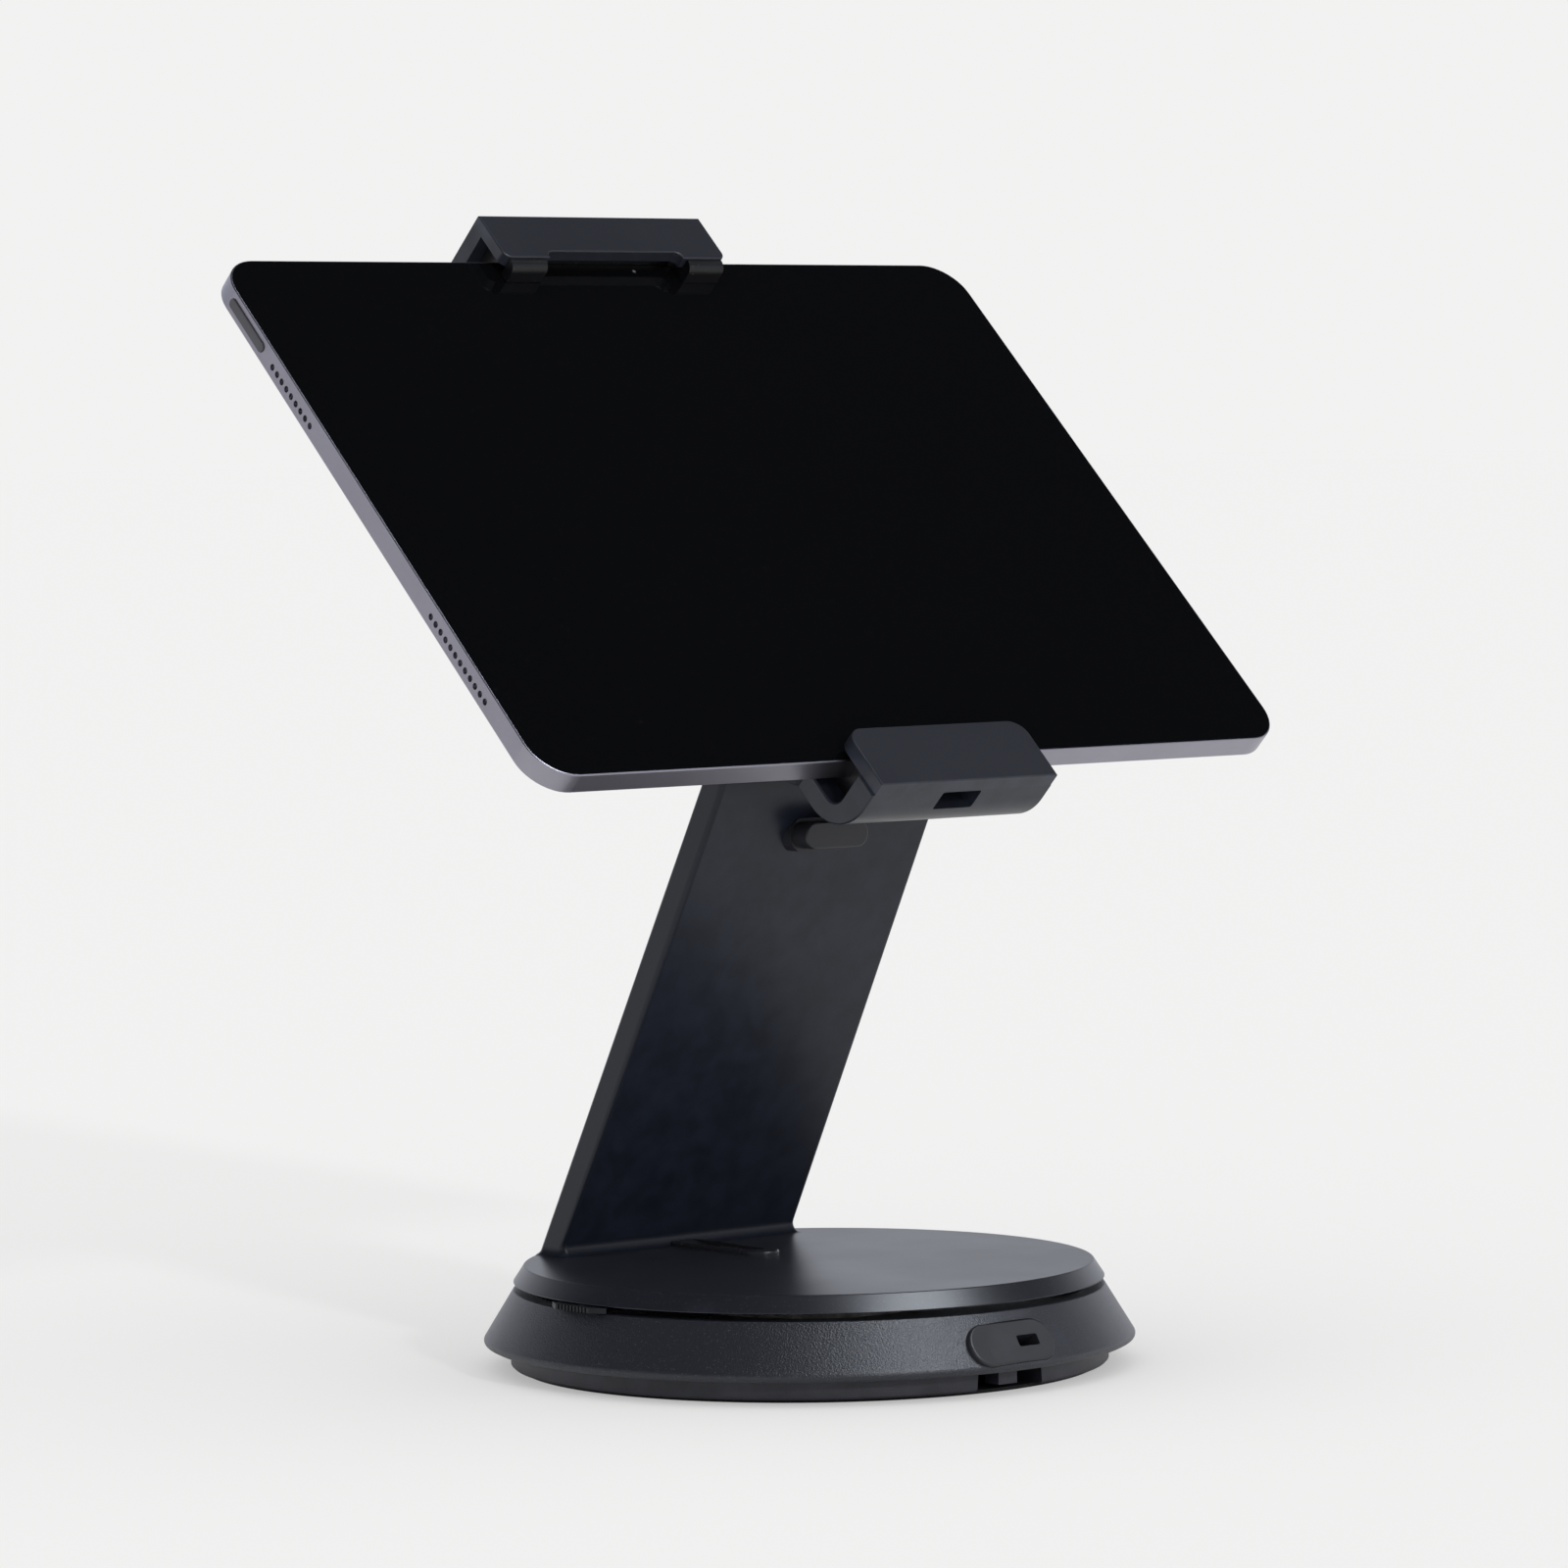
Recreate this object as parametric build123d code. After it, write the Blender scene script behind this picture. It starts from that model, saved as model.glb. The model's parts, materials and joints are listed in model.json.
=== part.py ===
from build123d import *

import math
import os

# Clearances
RUNNING_GAP = 0.1
SLIDE_GAP = 0.4
SHAFT_GAP = 0.05
SEAT_GAP = 0.05
OVERRUN = 5.0
EDGE_BREAK = 0.5

# Heights of the base, stacked upwards from the floor
FOOT_MAT_THICK = 0.9
PAN_THICK = 5.0
DECK_RISE = 6.1
DECK_THICK = 3.0
RIM_RISE = 5.1
TURNTABLE_GAP = 1.8
TURNTABLE_THICK = 4.4

# Base shell
PAN_R = 76.0
FOOT_MAT_INSET = 2.6
SKIRT_TOP_R = 75.2
SKIRT_WIDE_R = 83.3
SKIRT_TUCK = 2.1
SKIRT_CHIN = 1.0
SKIRT_LIP_LAP = 3.0
SKIRT_LIP_THICK = 2.0
SKIRT_WALL = 2.8
SKIRT_ROUND = 1.2
RIM_WIDTH = 4.2
TURNTABLE_R = 75.3
TURNTABLE_BEVEL = 2.9
TURNTABLE_LOW_BREAK = 0.2

# Cable channel under the base
CABLE_ROOF_THICK = 0.8
CABLE_EXIT_TOP_W = 21.0
CABLE_EXIT_LOW_W = 22.6
CABLE_EXIT_X = -0.5
CABLE_TONGUE_W = 6.2
CABLE_TONGUE_X = -1.4
CABLE_TONGUE_RISE = 1.1
CABLE_TONGUE_DEPTH = 5.0

# Ballast and the screws of the base
BALLAST_GAP = 0.1
BALLAST_SIDE_GAP = 1.8
BALLAST_HUB_GAP = 4.0
PAN_SCREW_COUNT = 4
PAN_SCREW_INSET = 8.0
PAN_SCREW_R = 1.6
PAN_SCREW_HEAD_R = 3.1
PAN_SCREW_LENGTH = 9.0
PAN_BOSS_R = 4.2
SMALL_SCREW_R = 1.25
SMALL_HEAD_R = 2.4
SMALL_HEAD_H = 1.4
SMALL_SCREW_LENGTH = 5.5

# Swivel
HUB_BORE_R = 14.0
HUB_TUBE_WALL = 5.95
HUB_FLANGE_R = 30.0
HUB_FLANGE_THICK = 3.8
SLIP_RING_INSET = 1.0
RETAINER_R = 26.5
RETAINER_THICK = 2.2
STOP_LUG_REACH = 4.5
STOP_LUG_W = 6.0
STOP_ARC_GAP = 1.0
STOP_ARC_LAP = 2.0
STOP_ARC_DEPTH = 3.0
SWIVEL_HALF_RANGE = 135.0
STOP_MARGIN_ANGLE = 1.0
HUB_SCREW_COUNT = 6
HUB_SCREW_INSET = 5.0
HUB_SCREW_FIRST_ANGLE = 0.0

# Cable grommet in the turntable
GROMMET_L = 38.0
GROMMET_W = 9.0
GROMMET_RISE = 1.3
GROMMET_LIP = 1.2
GROMMET_DEPTH = 2.4
GROMMET_OPEN_W = 4.6
GROMMET_OPEN_L = 17.5
GROMMET_FRONT_MARGIN = 4.7
CABLE_GROOVE_W = 9.0
CABLE_GROOVE_DEPTH = 1.6

# Rotation lock
LOCK_TAB_REACH = 2.7
LOCK_TAB_LIP_W = 13.0
LOCK_TAB_LIP_THICK = 1.35
LOCK_TAB_LIP_DROP = 0.15
LOCK_TAB_FLARE_W = 21.0
LOCK_TAB_PLATE_W = 12.0
LOCK_TAB_GAP = 0.3
LOCK_TAB_RIB_W = 3.6
LOCK_TAB_TRAVEL = 3.5
LOCK_SERRATION_COUNT = 9
LOCK_SERRATION_W = 0.6
LOCK_SERRATION_DEPTH = 0.3
BRAKE_SHOE_BACK = 3.5
BRAKE_GAP = 0.7
LOCK_RAIL_W = 2.6
LOCK_RAIL_MARGIN = 1.0

# Security plug in the skirt
PLUG_AZIMUTH = -90.0
PLUG_RISE = 6.0
PLUG_L = 27.4
PLUG_H = 11.4
PLUG_OFFSET = -3.5
PLUG_PROUD = 0.15
PLUG_DEPTH = 3.2
PLUG_ROUND = 0.6
SECURITY_SLOT_OFFSET = 1.6
SECURITY_SLOT_W = 6.8
SECURITY_SLOT_H = 3.0
SECURITY_SLOT_ROUND = 0.5
SECURITY_POCKET_DEPTH = 9.0

# Arm
ARM_LEAN = 27.7
ARM_FRONT_Y = 51.8
ARM_THICK = 7.9
ARM_HALF_W = 39.5
ARM_TAPER_SLOPE_SHARE = 0.016
ARM_BEND_IN_R = 6.0
ARM_EDGE_ROUND = 1.3
ARM_SKIN = 2.6
ARM_COVER_THICK = 2.0
ARM_SIDE_WALL = 3.4
ARM_FOOT_BLOCK = 15.0
ARM_FOOT_FLARE = 2.4
ARM_RIB_X = 20.0
ARM_RIB_W = 2.0
ARM_TOP_MARGIN = 5.0
ARM_TOP_ROUND = 14.0
ARM_HUB_MARGIN = 2.0
FOOT_SCREW_INSET = 9.5
FOOT_SCREW_PITCH = 19.0
FOOT_SCREW_SETBACK = 1.8
FOOT_SCREW_R = 1.75
FOOT_SCREW_HEAD_R = 3.2
FOOT_SCREW_HEAD_H = 1.8
FOOT_SCREW_LENGTH = 9.0

# Cable peg on the arm
PEG_W = 20.9
PEG_H = 6.8
PEG_RISE = 108.9
PEG_REACH = 7.7
PEG_COLLAR_REACH = 2.2
PEG_COLLAR_GROWTH = 0.8
PEG_SPIGOT_W = 13.0
PEG_SPIGOT_H = 4.0
PEG_TIP_ROUND = 0.5

# Tablet
TILT = 45.4
TABLET_Y = 16.9
TABLET_Z = 216.4
TABLET_W = 247.6
TABLET_H = 178.5
TABLET_T = 6.1
TABLET_CORNER_R = 11.0
TABLET_EDGE = 0.35
TABLET_WALL = 1.6
GLASS_INSET = 0.35
GLASS_THICK = 0.7
DISPLAY_THICK = 1.8
BATTERY_SPLIT = 6.0
BATTERY_END_GAP = 23.65
BATTERY_TOP_GAP = 0.8
BOARD_W = 14.0
BOARD_T = 1.2
BOARD_GAP = 3.0
BOARD_SIDE_GAP = 14.2
SPEAKER_HOLE_R = 0.85
SPEAKER_PITCH = 2.6
SPEAKER_DEPTH = 1.1
SPEAKER_Z = -0.4
UPPER_SPEAKER_COUNT = 9
UPPER_SPEAKER_DROP = 45.35
LOWER_SPEAKER_COUNT = 12
LOWER_SPEAKER_RISE = 42.55
POWER_BUTTON_DROP = 20.35
POWER_BUTTON_L = 18.0
VOLUME_UP_INSET = 30.8
VOLUME_DOWN_INSET = 43.8
VOLUME_BUTTON_L = 10.5
BUTTON_W = 2.6
BUTTON_PROUD = 0.4
BUTTON_THICK = 1.2
BUTTON_GAP = 0.12
BUTTON_WELL = 1.35
CAMERA_SIDE_INSET = 13.3
CAMERA_TOP_INSET = 13.25
CAMERA_R = 6.4
CAMERA_LENS_R = 4.4
CAMERA_RISE = 1.2
CAMERA_LENS_DEPTH = 0.5
PORT_L = 9.0
PORT_W = 3.0
PORT_DEPTH = 1.3

# Head chassis behind the tablet
PAD_THICK = 3.25
PAD_HALF_W = 24.0
PAD_H = 14.0
PAD_INSET = 25.0
PAD_ROUND = 3.0
PLATE_THICK = 2.2
PLATE_SCREW_INSET = 14.0
PLATE_SCREW_L = 6.0
TRAY_END_INSET = 9.25
TRAY_SIDE_WALL = 6.1
TRAY_CORNER_R = 8.0
TRAY_FLOOR_THICK = 3.0
CHANNEL_DEPTH = 5.0

# Jaws
JAW_GAP = 6.4
JAW_EDGE = 0.4
JAW_TRAVEL = 40.0
TONGUE_THICK = 4.2
TONGUE_ROUND = 2.0
UPPER_HALF_W = 37.2
UPPER_LEG_THICK = 4.5
UPPER_BACK_ROUND = 3.0
UPPER_CAP_GAP = 2.85
UPPER_CAP_THICK = 3.3
UPPER_CAP_LIP = 4.6
UPPER_CAP_LOW_ROUND = 2.2
UPPER_FOOT_W = 14.8
UPPER_NOTCH_H = 2.3
UPPER_NOTCH_R = 1.8
LOWER_HALF_W = 30.0
LOWER_TONGUE_INSET = 5.0
LOWER_TONGUE_L = 50.0
LOWER_BOTTOM_THICK = 7.4
LOWER_BACK_THICK = 6.0
LOWER_OUTER_ROUND = 14.0
LOWER_INNER_ROUND = 4.0
LOWER_WALL_GAP = 2.0
LOWER_CAP_INSET = 0.6
LOWER_CAP_GAP = 2.25
LOWER_CAP_LAP = 5.25
LOWER_CAP_ROUND = 5.0
WINDOW_W = 12.8
WINDOW_DEPTH = 6.1
WINDOW_ROUND = 0.6
JAW_SCREW_X = 16.0
JAW_SCREW_INSET = 20.0
JAW_SCREW_R = 2.0
JAW_SCREW_HEAD_R = 3.8
JAW_SCREW_HEAD_H = 1.6
JAW_SCREW_LENGTH = 6.5
LINER_GAP = 0.1
LOWER_LINER_INSET = 6.0
UPPER_LINER_INSET = 4.2
LINER_FOOT_DROP = 3.0
LINER_FOOT_SETBACK = 0.5
LINER_FOOT_ROUND = 2.6
LINER_FOOT_GAP = 1.6

# Rack and key lock
SLOT_HALF_W = 8.0
SLOT_LOW_RUN = 10.0
SLOT_HIGH_RUN = 22.0
SLOT_END_WALL = 6.0
RACK_PITCH = 4.0
RACK_DEPTH = 2.0
RACK_MOUTH = 2.4
RACK_ROOT = 1.2
LOCK_INSET = 18.0
LOCK_CYLINDER_R = 6.0
LOCK_CYLINDER_RISE = 1.2
LOCK_BOSS_WALL = 3.5
LOCK_BOSS_RISE = 3.7
LOCK_PIN_R = 1.2
LOCK_PIN_PLAY = 0.6
LOCK_THROW = 2.2
KEYHOLE_R = 3.4
KEYHOLE_CORE_R = 2.0
KEYHOLE_DEPTH = 3.0
BOLT_HALF_H = 6.0
BOLT_BACK_X = -6.6
BOLT_REST_GAP = 0.5
BOLT_TOOTH_GAP = 0.3
BOLT_THICK = 3.8
GUIDE_THICK = 2.0
GUIDE_HALF_W = 7.4

# Head pivot
ARM_HEAD_GAP = 1.0
SPINDLE_R = 11.95
SPINDLE_BORE_R = 7.0
SPINDLE_FLANGE_R = 22.0
SPINDLE_FLANGE_THICK = 3.0
SPINDLE_END_MARGIN = 1.0
SPINDLE_WEB = 4.0
SPINDLE_SCREW_COUNT = 4
SPINDLE_SCREW_INSET = 5.0
SPINDLE_SCREW_FIRST_ANGLE = 0.0
BUSH_WALL = 2.05
BUSH_FLANGE_W = 1.4
WASHER_R = 19.0
WASHER_THICK = 1.4
NUT_R = 17.0
NUT_THICK = 4.6
NUT_NOTCH_COUNT = 6
NUT_NOTCH_W = 3.5
NUT_NOTCH_DEPTH = 2.0
HUB_CAP_SIDE_GAP = 2.0
HUB_CAP_END_GAP = 1.4
HUB_CAP_WALL = 2.0
HUB_CAP_ROUND = 2.5
HEAD_TURN_ANGLE = 90.0
HEAD_STOP_ANGLE = -115.0
HEAD_STOP_INSET = 3.6
HEAD_STOP_PIN_R = 1.5
HEAD_STOP_PIN_GAP = 0.3
HEAD_STOP_PIN_L = 6.0
HEAD_STOP_GROOVE_DEPTH = 2.0

# Places worked out from the sizes above: the base
PAN_LOW_Z = FOOT_MAT_THICK
PAN_TOP_Z = PAN_LOW_Z + PAN_THICK
DECK_LOW_Z = PAN_TOP_Z + DECK_RISE
DECK_TOP_Z = DECK_LOW_Z + DECK_THICK
SKIRT_TOP_Z = DECK_TOP_Z + RIM_RISE
SKIRT_WIDE_Z = PAN_TOP_Z + SKIRT_CHIN
TURNTABLE_LOW_Z = SKIRT_TOP_Z + TURNTABLE_GAP
TURNTABLE_TOP_Z = TURNTABLE_LOW_Z + TURNTABLE_THICK
CABLE_ROOF_Z = PAN_TOP_Z - CABLE_ROOF_THICK
PAN_SCREW_CIRCLE_R = PAN_R - PAN_SCREW_INSET
RIM_IN_R = SKIRT_TOP_R - RIM_WIDTH
HUB_TUBE_R = HUB_BORE_R + HUB_TUBE_WALL
HUB_FLANGE_LOW_Z = TURNTABLE_LOW_Z - HUB_FLANGE_THICK
HUB_SCREW_CIRCLE_R = HUB_FLANGE_R - HUB_SCREW_INSET
RETAINER_TOP_Z = DECK_LOW_Z - RUNNING_GAP
STOP_LUG_R = RETAINER_R + STOP_LUG_REACH
STOP_ARC_OUT_R = STOP_LUG_R + STOP_ARC_LAP
LOCK_TAB_LOW_Z = SKIRT_TOP_Z + LOCK_TAB_GAP
LOCK_TAB_TOP_Z = TURNTABLE_LOW_Z - LOCK_TAB_GAP
LOCK_TAB_LIP_X = TURNTABLE_R + SLIDE_GAP
LOCK_TAB_OUT_X = TURNTABLE_R + LOCK_TAB_REACH
LOCK_TAB_INNER_X = HUB_FLANGE_R + BRAKE_SHOE_BACK
PLUG_Z = SKIRT_WIDE_Z + PLUG_RISE
GROMMET_Y = ARM_FRONT_Y - GROMMET_L / 2
FOOT_SCREW_Y = ARM_FRONT_Y + FOOT_SCREW_SETBACK
FOOT_SCREW_OUT_X = ARM_HALF_W - FOOT_SCREW_INSET
FOOT_SCREW_IN_X = FOOT_SCREW_OUT_X - FOOT_SCREW_PITCH
FOOT_SCREW_XS = (-FOOT_SCREW_OUT_X, -FOOT_SCREW_IN_X, FOOT_SCREW_IN_X, FOOT_SCREW_OUT_X)
PEG_Z = TURNTABLE_TOP_Z + PEG_RISE
PEG_FOOT_Y = ARM_FRONT_Y - PEG_RISE * math.tan(math.radians(ARM_LEAN))

# Places worked out from the sizes above: the head, in its own frame
PLATE_FRONT_Z = -TABLET_T / 2 - PAD_THICK
TRAY_FRONT_Z = PLATE_FRONT_Z - PLATE_THICK
TRAY_FLOOR_Z = TRAY_FRONT_Z - CHANNEL_DEPTH
TRAY_BACK_Z = TRAY_FLOOR_Z - TRAY_FLOOR_THICK
TRAY_HALF_H = TABLET_H / 2 - TRAY_END_INSET
TONGUE_HALF_W = LOWER_HALF_W - LOWER_TONGUE_INSET
TONGUE_BACK_Z = TRAY_FLOOR_Z + SLIDE_GAP
TONGUE_FRONT_Z = TONGUE_BACK_Z + TONGUE_THICK
CHANNEL_HALF_W = TONGUE_HALF_W + SLIDE_GAP
TRAY_HALF_W = CHANNEL_HALF_W + TRAY_SIDE_WALL
PLATE_SCREW_X = (CHANNEL_HALF_W + TRAY_HALF_W) / 2
PLATE_SCREW_Y = TRAY_HALF_H - PLATE_SCREW_INSET
PAD_Y = TRAY_HALF_H - PAD_INSET
JAW_SPAN_Y = TABLET_H / 2 + JAW_GAP
JAW_SCREW_Y = JAW_SCREW_INSET - TRAY_HALF_H
UPPER_CAP_BACK_Z = TABLET_T / 2 + UPPER_CAP_GAP
UPPER_CAP_LOW_Y = TABLET_H / 2 - UPPER_CAP_LIP
CAP_FRONT_Z = UPPER_CAP_BACK_Z + UPPER_CAP_THICK
UPPER_NOTCH_HALF_W = UPPER_HALF_W - UPPER_FOOT_W
LINER_FOOT_FRONT_Z = CAP_FRONT_Z - LINER_FOOT_SETBACK
LOWER_BACK_Z = TRAY_FLOOR_Z
LOWER_WALL_FRONT_Z = LOWER_BACK_Z + LOWER_BACK_THICK
LOWER_WALL_TOP_Y = -TRAY_HALF_H - LOWER_WALL_GAP
LOWER_TONGUE_TOP_Y = LOWER_TONGUE_L - TRAY_HALF_H
LOWER_CAP_BACK_Z = TABLET_T / 2 + LOWER_CAP_GAP
LOWER_CAP_TOP_Y = LOWER_CAP_LAP - TABLET_H / 2
WINDOW_FRONT_Z = LOWER_CAP_BACK_Z - SLIDE_GAP
LOCK_Y = TRAY_HALF_H - LOCK_INSET
LOCK_BOSS_BACK_Z = TRAY_BACK_Z - LOCK_BOSS_RISE
LOCK_CYLINDER_BACK_Z = LOCK_BOSS_BACK_Z - LOCK_CYLINDER_RISE
SLOT_LOW_Y = LOCK_Y - JAW_TRAVEL - SLOT_LOW_RUN
SLOT_HIGH_Y = LOCK_Y + SLOT_HIGH_RUN
TONGUE_LOW_Y = SLOT_LOW_Y - SLOT_END_WALL
SPINDLE_FLANGE_BACK_Z = TRAY_BACK_Z - SPINDLE_FLANGE_THICK
ARM_FRONT_Z = SPINDLE_FLANGE_BACK_Z - ARM_HEAD_GAP
ARM_BACK_Z = ARM_FRONT_Z - ARM_THICK
WASHER_FRONT_Z = ARM_BACK_Z - RUNNING_GAP
NUT_FRONT_Z = WASHER_FRONT_Z - WASHER_THICK
SPINDLE_END_Z = NUT_FRONT_Z - NUT_THICK - SPINDLE_END_MARGIN
HUB_CAP_R = WASHER_R + HUB_CAP_SIDE_GAP + HUB_CAP_WALL
HUB_CAP_INNER_Z = SPINDLE_END_Z - HUB_CAP_END_GAP
BUSH_OUT_R = SPINDLE_R + BUSH_WALL
HEAD_STOP_R = SPINDLE_FLANGE_R - HEAD_STOP_INSET
HEAD_STOP_PIN_TOP_Z = SPINDLE_FLANGE_BACK_Z + HEAD_STOP_GROOVE_DEPTH - SLIDE_GAP
SPINDLE_SCREW_CIRCLE_R = HEAD_STOP_R - SPINDLE_SCREW_INSET
ARM_TOP_Y = HUB_CAP_R + ARM_TOP_MARGIN
ARM_HUB_BLOCK_Y = -HUB_CAP_R - ARM_HUB_MARGIN
TABLET_BACK_INNER_Z = -TABLET_T / 2 + TABLET_WALL / 2
DISPLAY_BACK_Z = TABLET_T / 2 - GLASS_THICK - DISPLAY_THICK
BATTERY_SPAN_X = TABLET_W / 2 - TABLET_WALL - BOARD_SIDE_GAP - BOARD_W - BOARD_GAP
BATTERY_H = TABLET_H - 2 * (TABLET_WALL + BATTERY_END_GAP)
POWER_BUTTON_Y = TABLET_H / 2 - POWER_BUTTON_DROP
VOLUME_UP_X = VOLUME_UP_INSET - TABLET_W / 2
VOLUME_DOWN_X = VOLUME_DOWN_INSET - TABLET_W / 2
CAMERA_X = CAMERA_SIDE_INSET - TABLET_W / 2
CAMERA_Y = TABLET_H / 2 - CAMERA_TOP_INSET
HEAD = Plane(
    origin=(0, TABLET_Y, TABLET_Z),
    x_dir=(1, 0, 0),
    z_dir=(0, -math.cos(math.radians(TILT)), math.sin(math.radians(TILT))),
)


def ring(outer_r, inner_r, low_z, high_z):
    """A flat ring between two heights; an inner radius of zero gives a disc."""
    height = high_z - low_z
    body = Pos(0, 0, (low_z + high_z) / 2) * Cylinder(outer_r, height)
    if inner_r > 0:
        body -= Pos(0, 0, (low_z + high_z) / 2) * Cylinder(inner_r, height + 2 * OVERRUN)
    return body


def block(x_range, y_range, z_range):
    """A rectangular block between pairs of planes."""
    size = [high - low for low, high in (x_range, y_range, z_range)]
    centre = [(low + high) / 2 for low, high in (x_range, y_range, z_range)]
    return Pos(*centre) * Box(*size)


def stadium(length, width, low_z, high_z):
    """An upright prism with a stadium outline, long along X."""
    outline = SlotOverall(length, width)
    return Pos(0, 0, low_z) * extrude(outline, high_z - low_z)


def rounded_plate(half_w, half_h, corner_r, low_z, high_z):
    """An upright plate with rounded corners."""
    outline = RectangleRounded(2 * half_w, 2 * half_h, corner_r)
    return Pos(0, 0, low_z) * extrude(outline, high_z - low_z)


def turned(points):
    """A solid of revolution about Z from (radius, height) points."""
    outline = Plane.XZ * make_face(Polyline(*points, close=True))
    return revolve(outline, Axis.Z)


def flat_head_screw(shank_r, head_r, length, head_h):
    """A countersunk screw whose head's face lies at z = 0, with the shank towards +Z."""
    head = Pos(0, 0, head_h / 2) * Cone(head_r, shank_r, head_h)
    shank = Pos(0, 0, length / 2) * Cylinder(shank_r, length)
    return head + shank


def pan_head_screw(shank_r, head_r, length, head_h):
    """A pan-head screw whose head seats at z = 0, with the shank towards +Z."""
    head = Pos(0, 0, -head_h / 2) * Cylinder(head_r, head_h)
    shank = Pos(0, 0, length / 2) * Cylinder(shank_r, length)
    return head + shank


def around(count, first_angle, circle_r, height):
    """Places equally spaced on a circle about Z."""
    places = []
    for index in range(count):
        angle = first_angle + 360.0 * index / count
        places.append(Rot(0, 0, angle) * Pos(circle_r, 0, height))
    return places


# Base


def pan_screw_places():
    return around(PAN_SCREW_COUNT, 360.0 / PAN_SCREW_COUNT / 2, PAN_SCREW_CIRCLE_R, PAN_LOW_Z)


def cable_channel(low_z, high_z):
    """The cable's way under the base, from the front edge to the hub well."""
    low_half = CABLE_EXIT_LOW_W / 2
    top_half = CABLE_EXIT_TOP_W / 2
    corners = [(-low_half, low_z), (low_half, low_z), (top_half, high_z), (-top_half, high_z)]
    outline = Plane.XZ * make_face(Polyline(*corners, close=True))
    return Pos(CABLE_EXIT_X, 0, 0) * extrude(outline, PAN_R + OVERRUN)


def base_pan():
    pan = turned(
        [
            (HUB_BORE_R, PAN_LOW_Z),
            (PAN_R - EDGE_BREAK, PAN_LOW_Z),
            (PAN_R, PAN_LOW_Z + EDGE_BREAK),
            (PAN_R, PAN_TOP_Z - SEAT_GAP),
            (HUB_BORE_R, PAN_TOP_Z - SEAT_GAP),
        ]
    )
    pan -= cable_channel(-OVERRUN, CABLE_ROOF_Z)
    tongue_back_y = -PAN_R + EDGE_BREAK
    half = CABLE_TONGUE_W / 2
    tongue = block(
        (CABLE_TONGUE_X - half, CABLE_TONGUE_X + half),
        (tongue_back_y, tongue_back_y + CABLE_TONGUE_DEPTH),
        (PAN_LOW_Z + CABLE_TONGUE_RISE, CABLE_ROOF_Z),
    )
    pan += tongue
    for place in pan_screw_places():
        head = Cone(PAN_SCREW_HEAD_R + SEAT_GAP, PAN_SCREW_R + SEAT_GAP, PAN_SCREW_R)
        pan -= place * Pos(0, 0, PAN_SCREW_R / 2) * head
        pan -= place * Cylinder(PAN_SCREW_R + SEAT_GAP, 2 * PAN_SCREW_LENGTH)
    return pan


def foot_mat():
    body = ring(PAN_R - FOOT_MAT_INSET, 0, 0, PAN_LOW_Z)
    for place in pan_screw_places():
        body -= place * Cylinder(PAN_SCREW_HEAD_R + SLIDE_GAP, 2 * OVERRUN)
    return body


def pan_screws():
    screw = flat_head_screw(PAN_SCREW_R, PAN_SCREW_HEAD_R, PAN_SCREW_LENGTH, PAN_SCREW_R)
    return [place * screw for place in pan_screw_places()]


def ballast_plate():
    outer_r = PAN_SCREW_CIRCLE_R - PAN_BOSS_R - BALLAST_SIDE_GAP
    inner_r = STOP_ARC_OUT_R + BALLAST_HUB_GAP
    return ring(outer_r, inner_r, PAN_TOP_Z, DECK_LOW_Z - BALLAST_GAP)


def plug_plane():
    """The flat face of the plug, which touches the skirt's cone at the security slot."""
    share = (SKIRT_TOP_Z - PLUG_Z) / (SKIRT_TOP_Z - SKIRT_WIDE_Z)
    radius = SKIRT_TOP_R + (SKIRT_WIDE_R - SKIRT_TOP_R) * share
    slope = math.atan2(SKIRT_WIDE_R - SKIRT_TOP_R, SKIRT_TOP_Z - SKIRT_WIDE_Z)
    azimuth = math.radians(PLUG_AZIMUTH)
    outward = (math.cos(azimuth), math.sin(azimuth))
    return Plane(
        origin=(radius * outward[0], radius * outward[1], PLUG_Z),
        x_dir=(-outward[1], outward[0], 0),
        z_dir=(outward[0] * math.cos(slope), outward[1] * math.cos(slope), math.sin(slope)),
    )


def lock_rails():
    """Two rails on the deck that guide the rib of the lock tab."""
    inner = LOCK_TAB_RIB_W / 2 + SLIDE_GAP
    rail_x = (-RIM_IN_R, -LOCK_TAB_INNER_X - LOCK_TAB_TRAVEL - LOCK_RAIL_MARGIN)
    rail_z = (DECK_TOP_Z, SKIRT_TOP_Z)
    left = block(rail_x, (inner, inner + LOCK_RAIL_W), rail_z)
    return left + block(rail_x, (-inner - LOCK_RAIL_W, -inner), rail_z)


def swivel_stop_arc():
    """The stop under the deck that the retainer's lug meets at both ends of the swivel."""
    inner_r = RETAINER_R + STOP_ARC_GAP
    low_z = DECK_LOW_Z - STOP_ARC_DEPTH
    mid_r = (inner_r + STOP_LUG_R) / 2
    lug_half_angle = math.degrees(math.asin(STOP_LUG_W / 2 / mid_r))
    half_angle = 180.0 - SWIVEL_HALF_RANGE - lug_half_angle - STOP_MARGIN_ANGLE
    outline = Plane.XZ * make_face(
        Polyline(
            (inner_r, low_z),
            (STOP_ARC_OUT_R, low_z),
            (STOP_ARC_OUT_R, DECK_LOW_Z),
            (inner_r, DECK_LOW_Z),
            close=True,
        )
    )
    return Rot(0, 0, 90.0 - half_angle) * revolve(outline, Axis.Z, 2 * half_angle)


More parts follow.
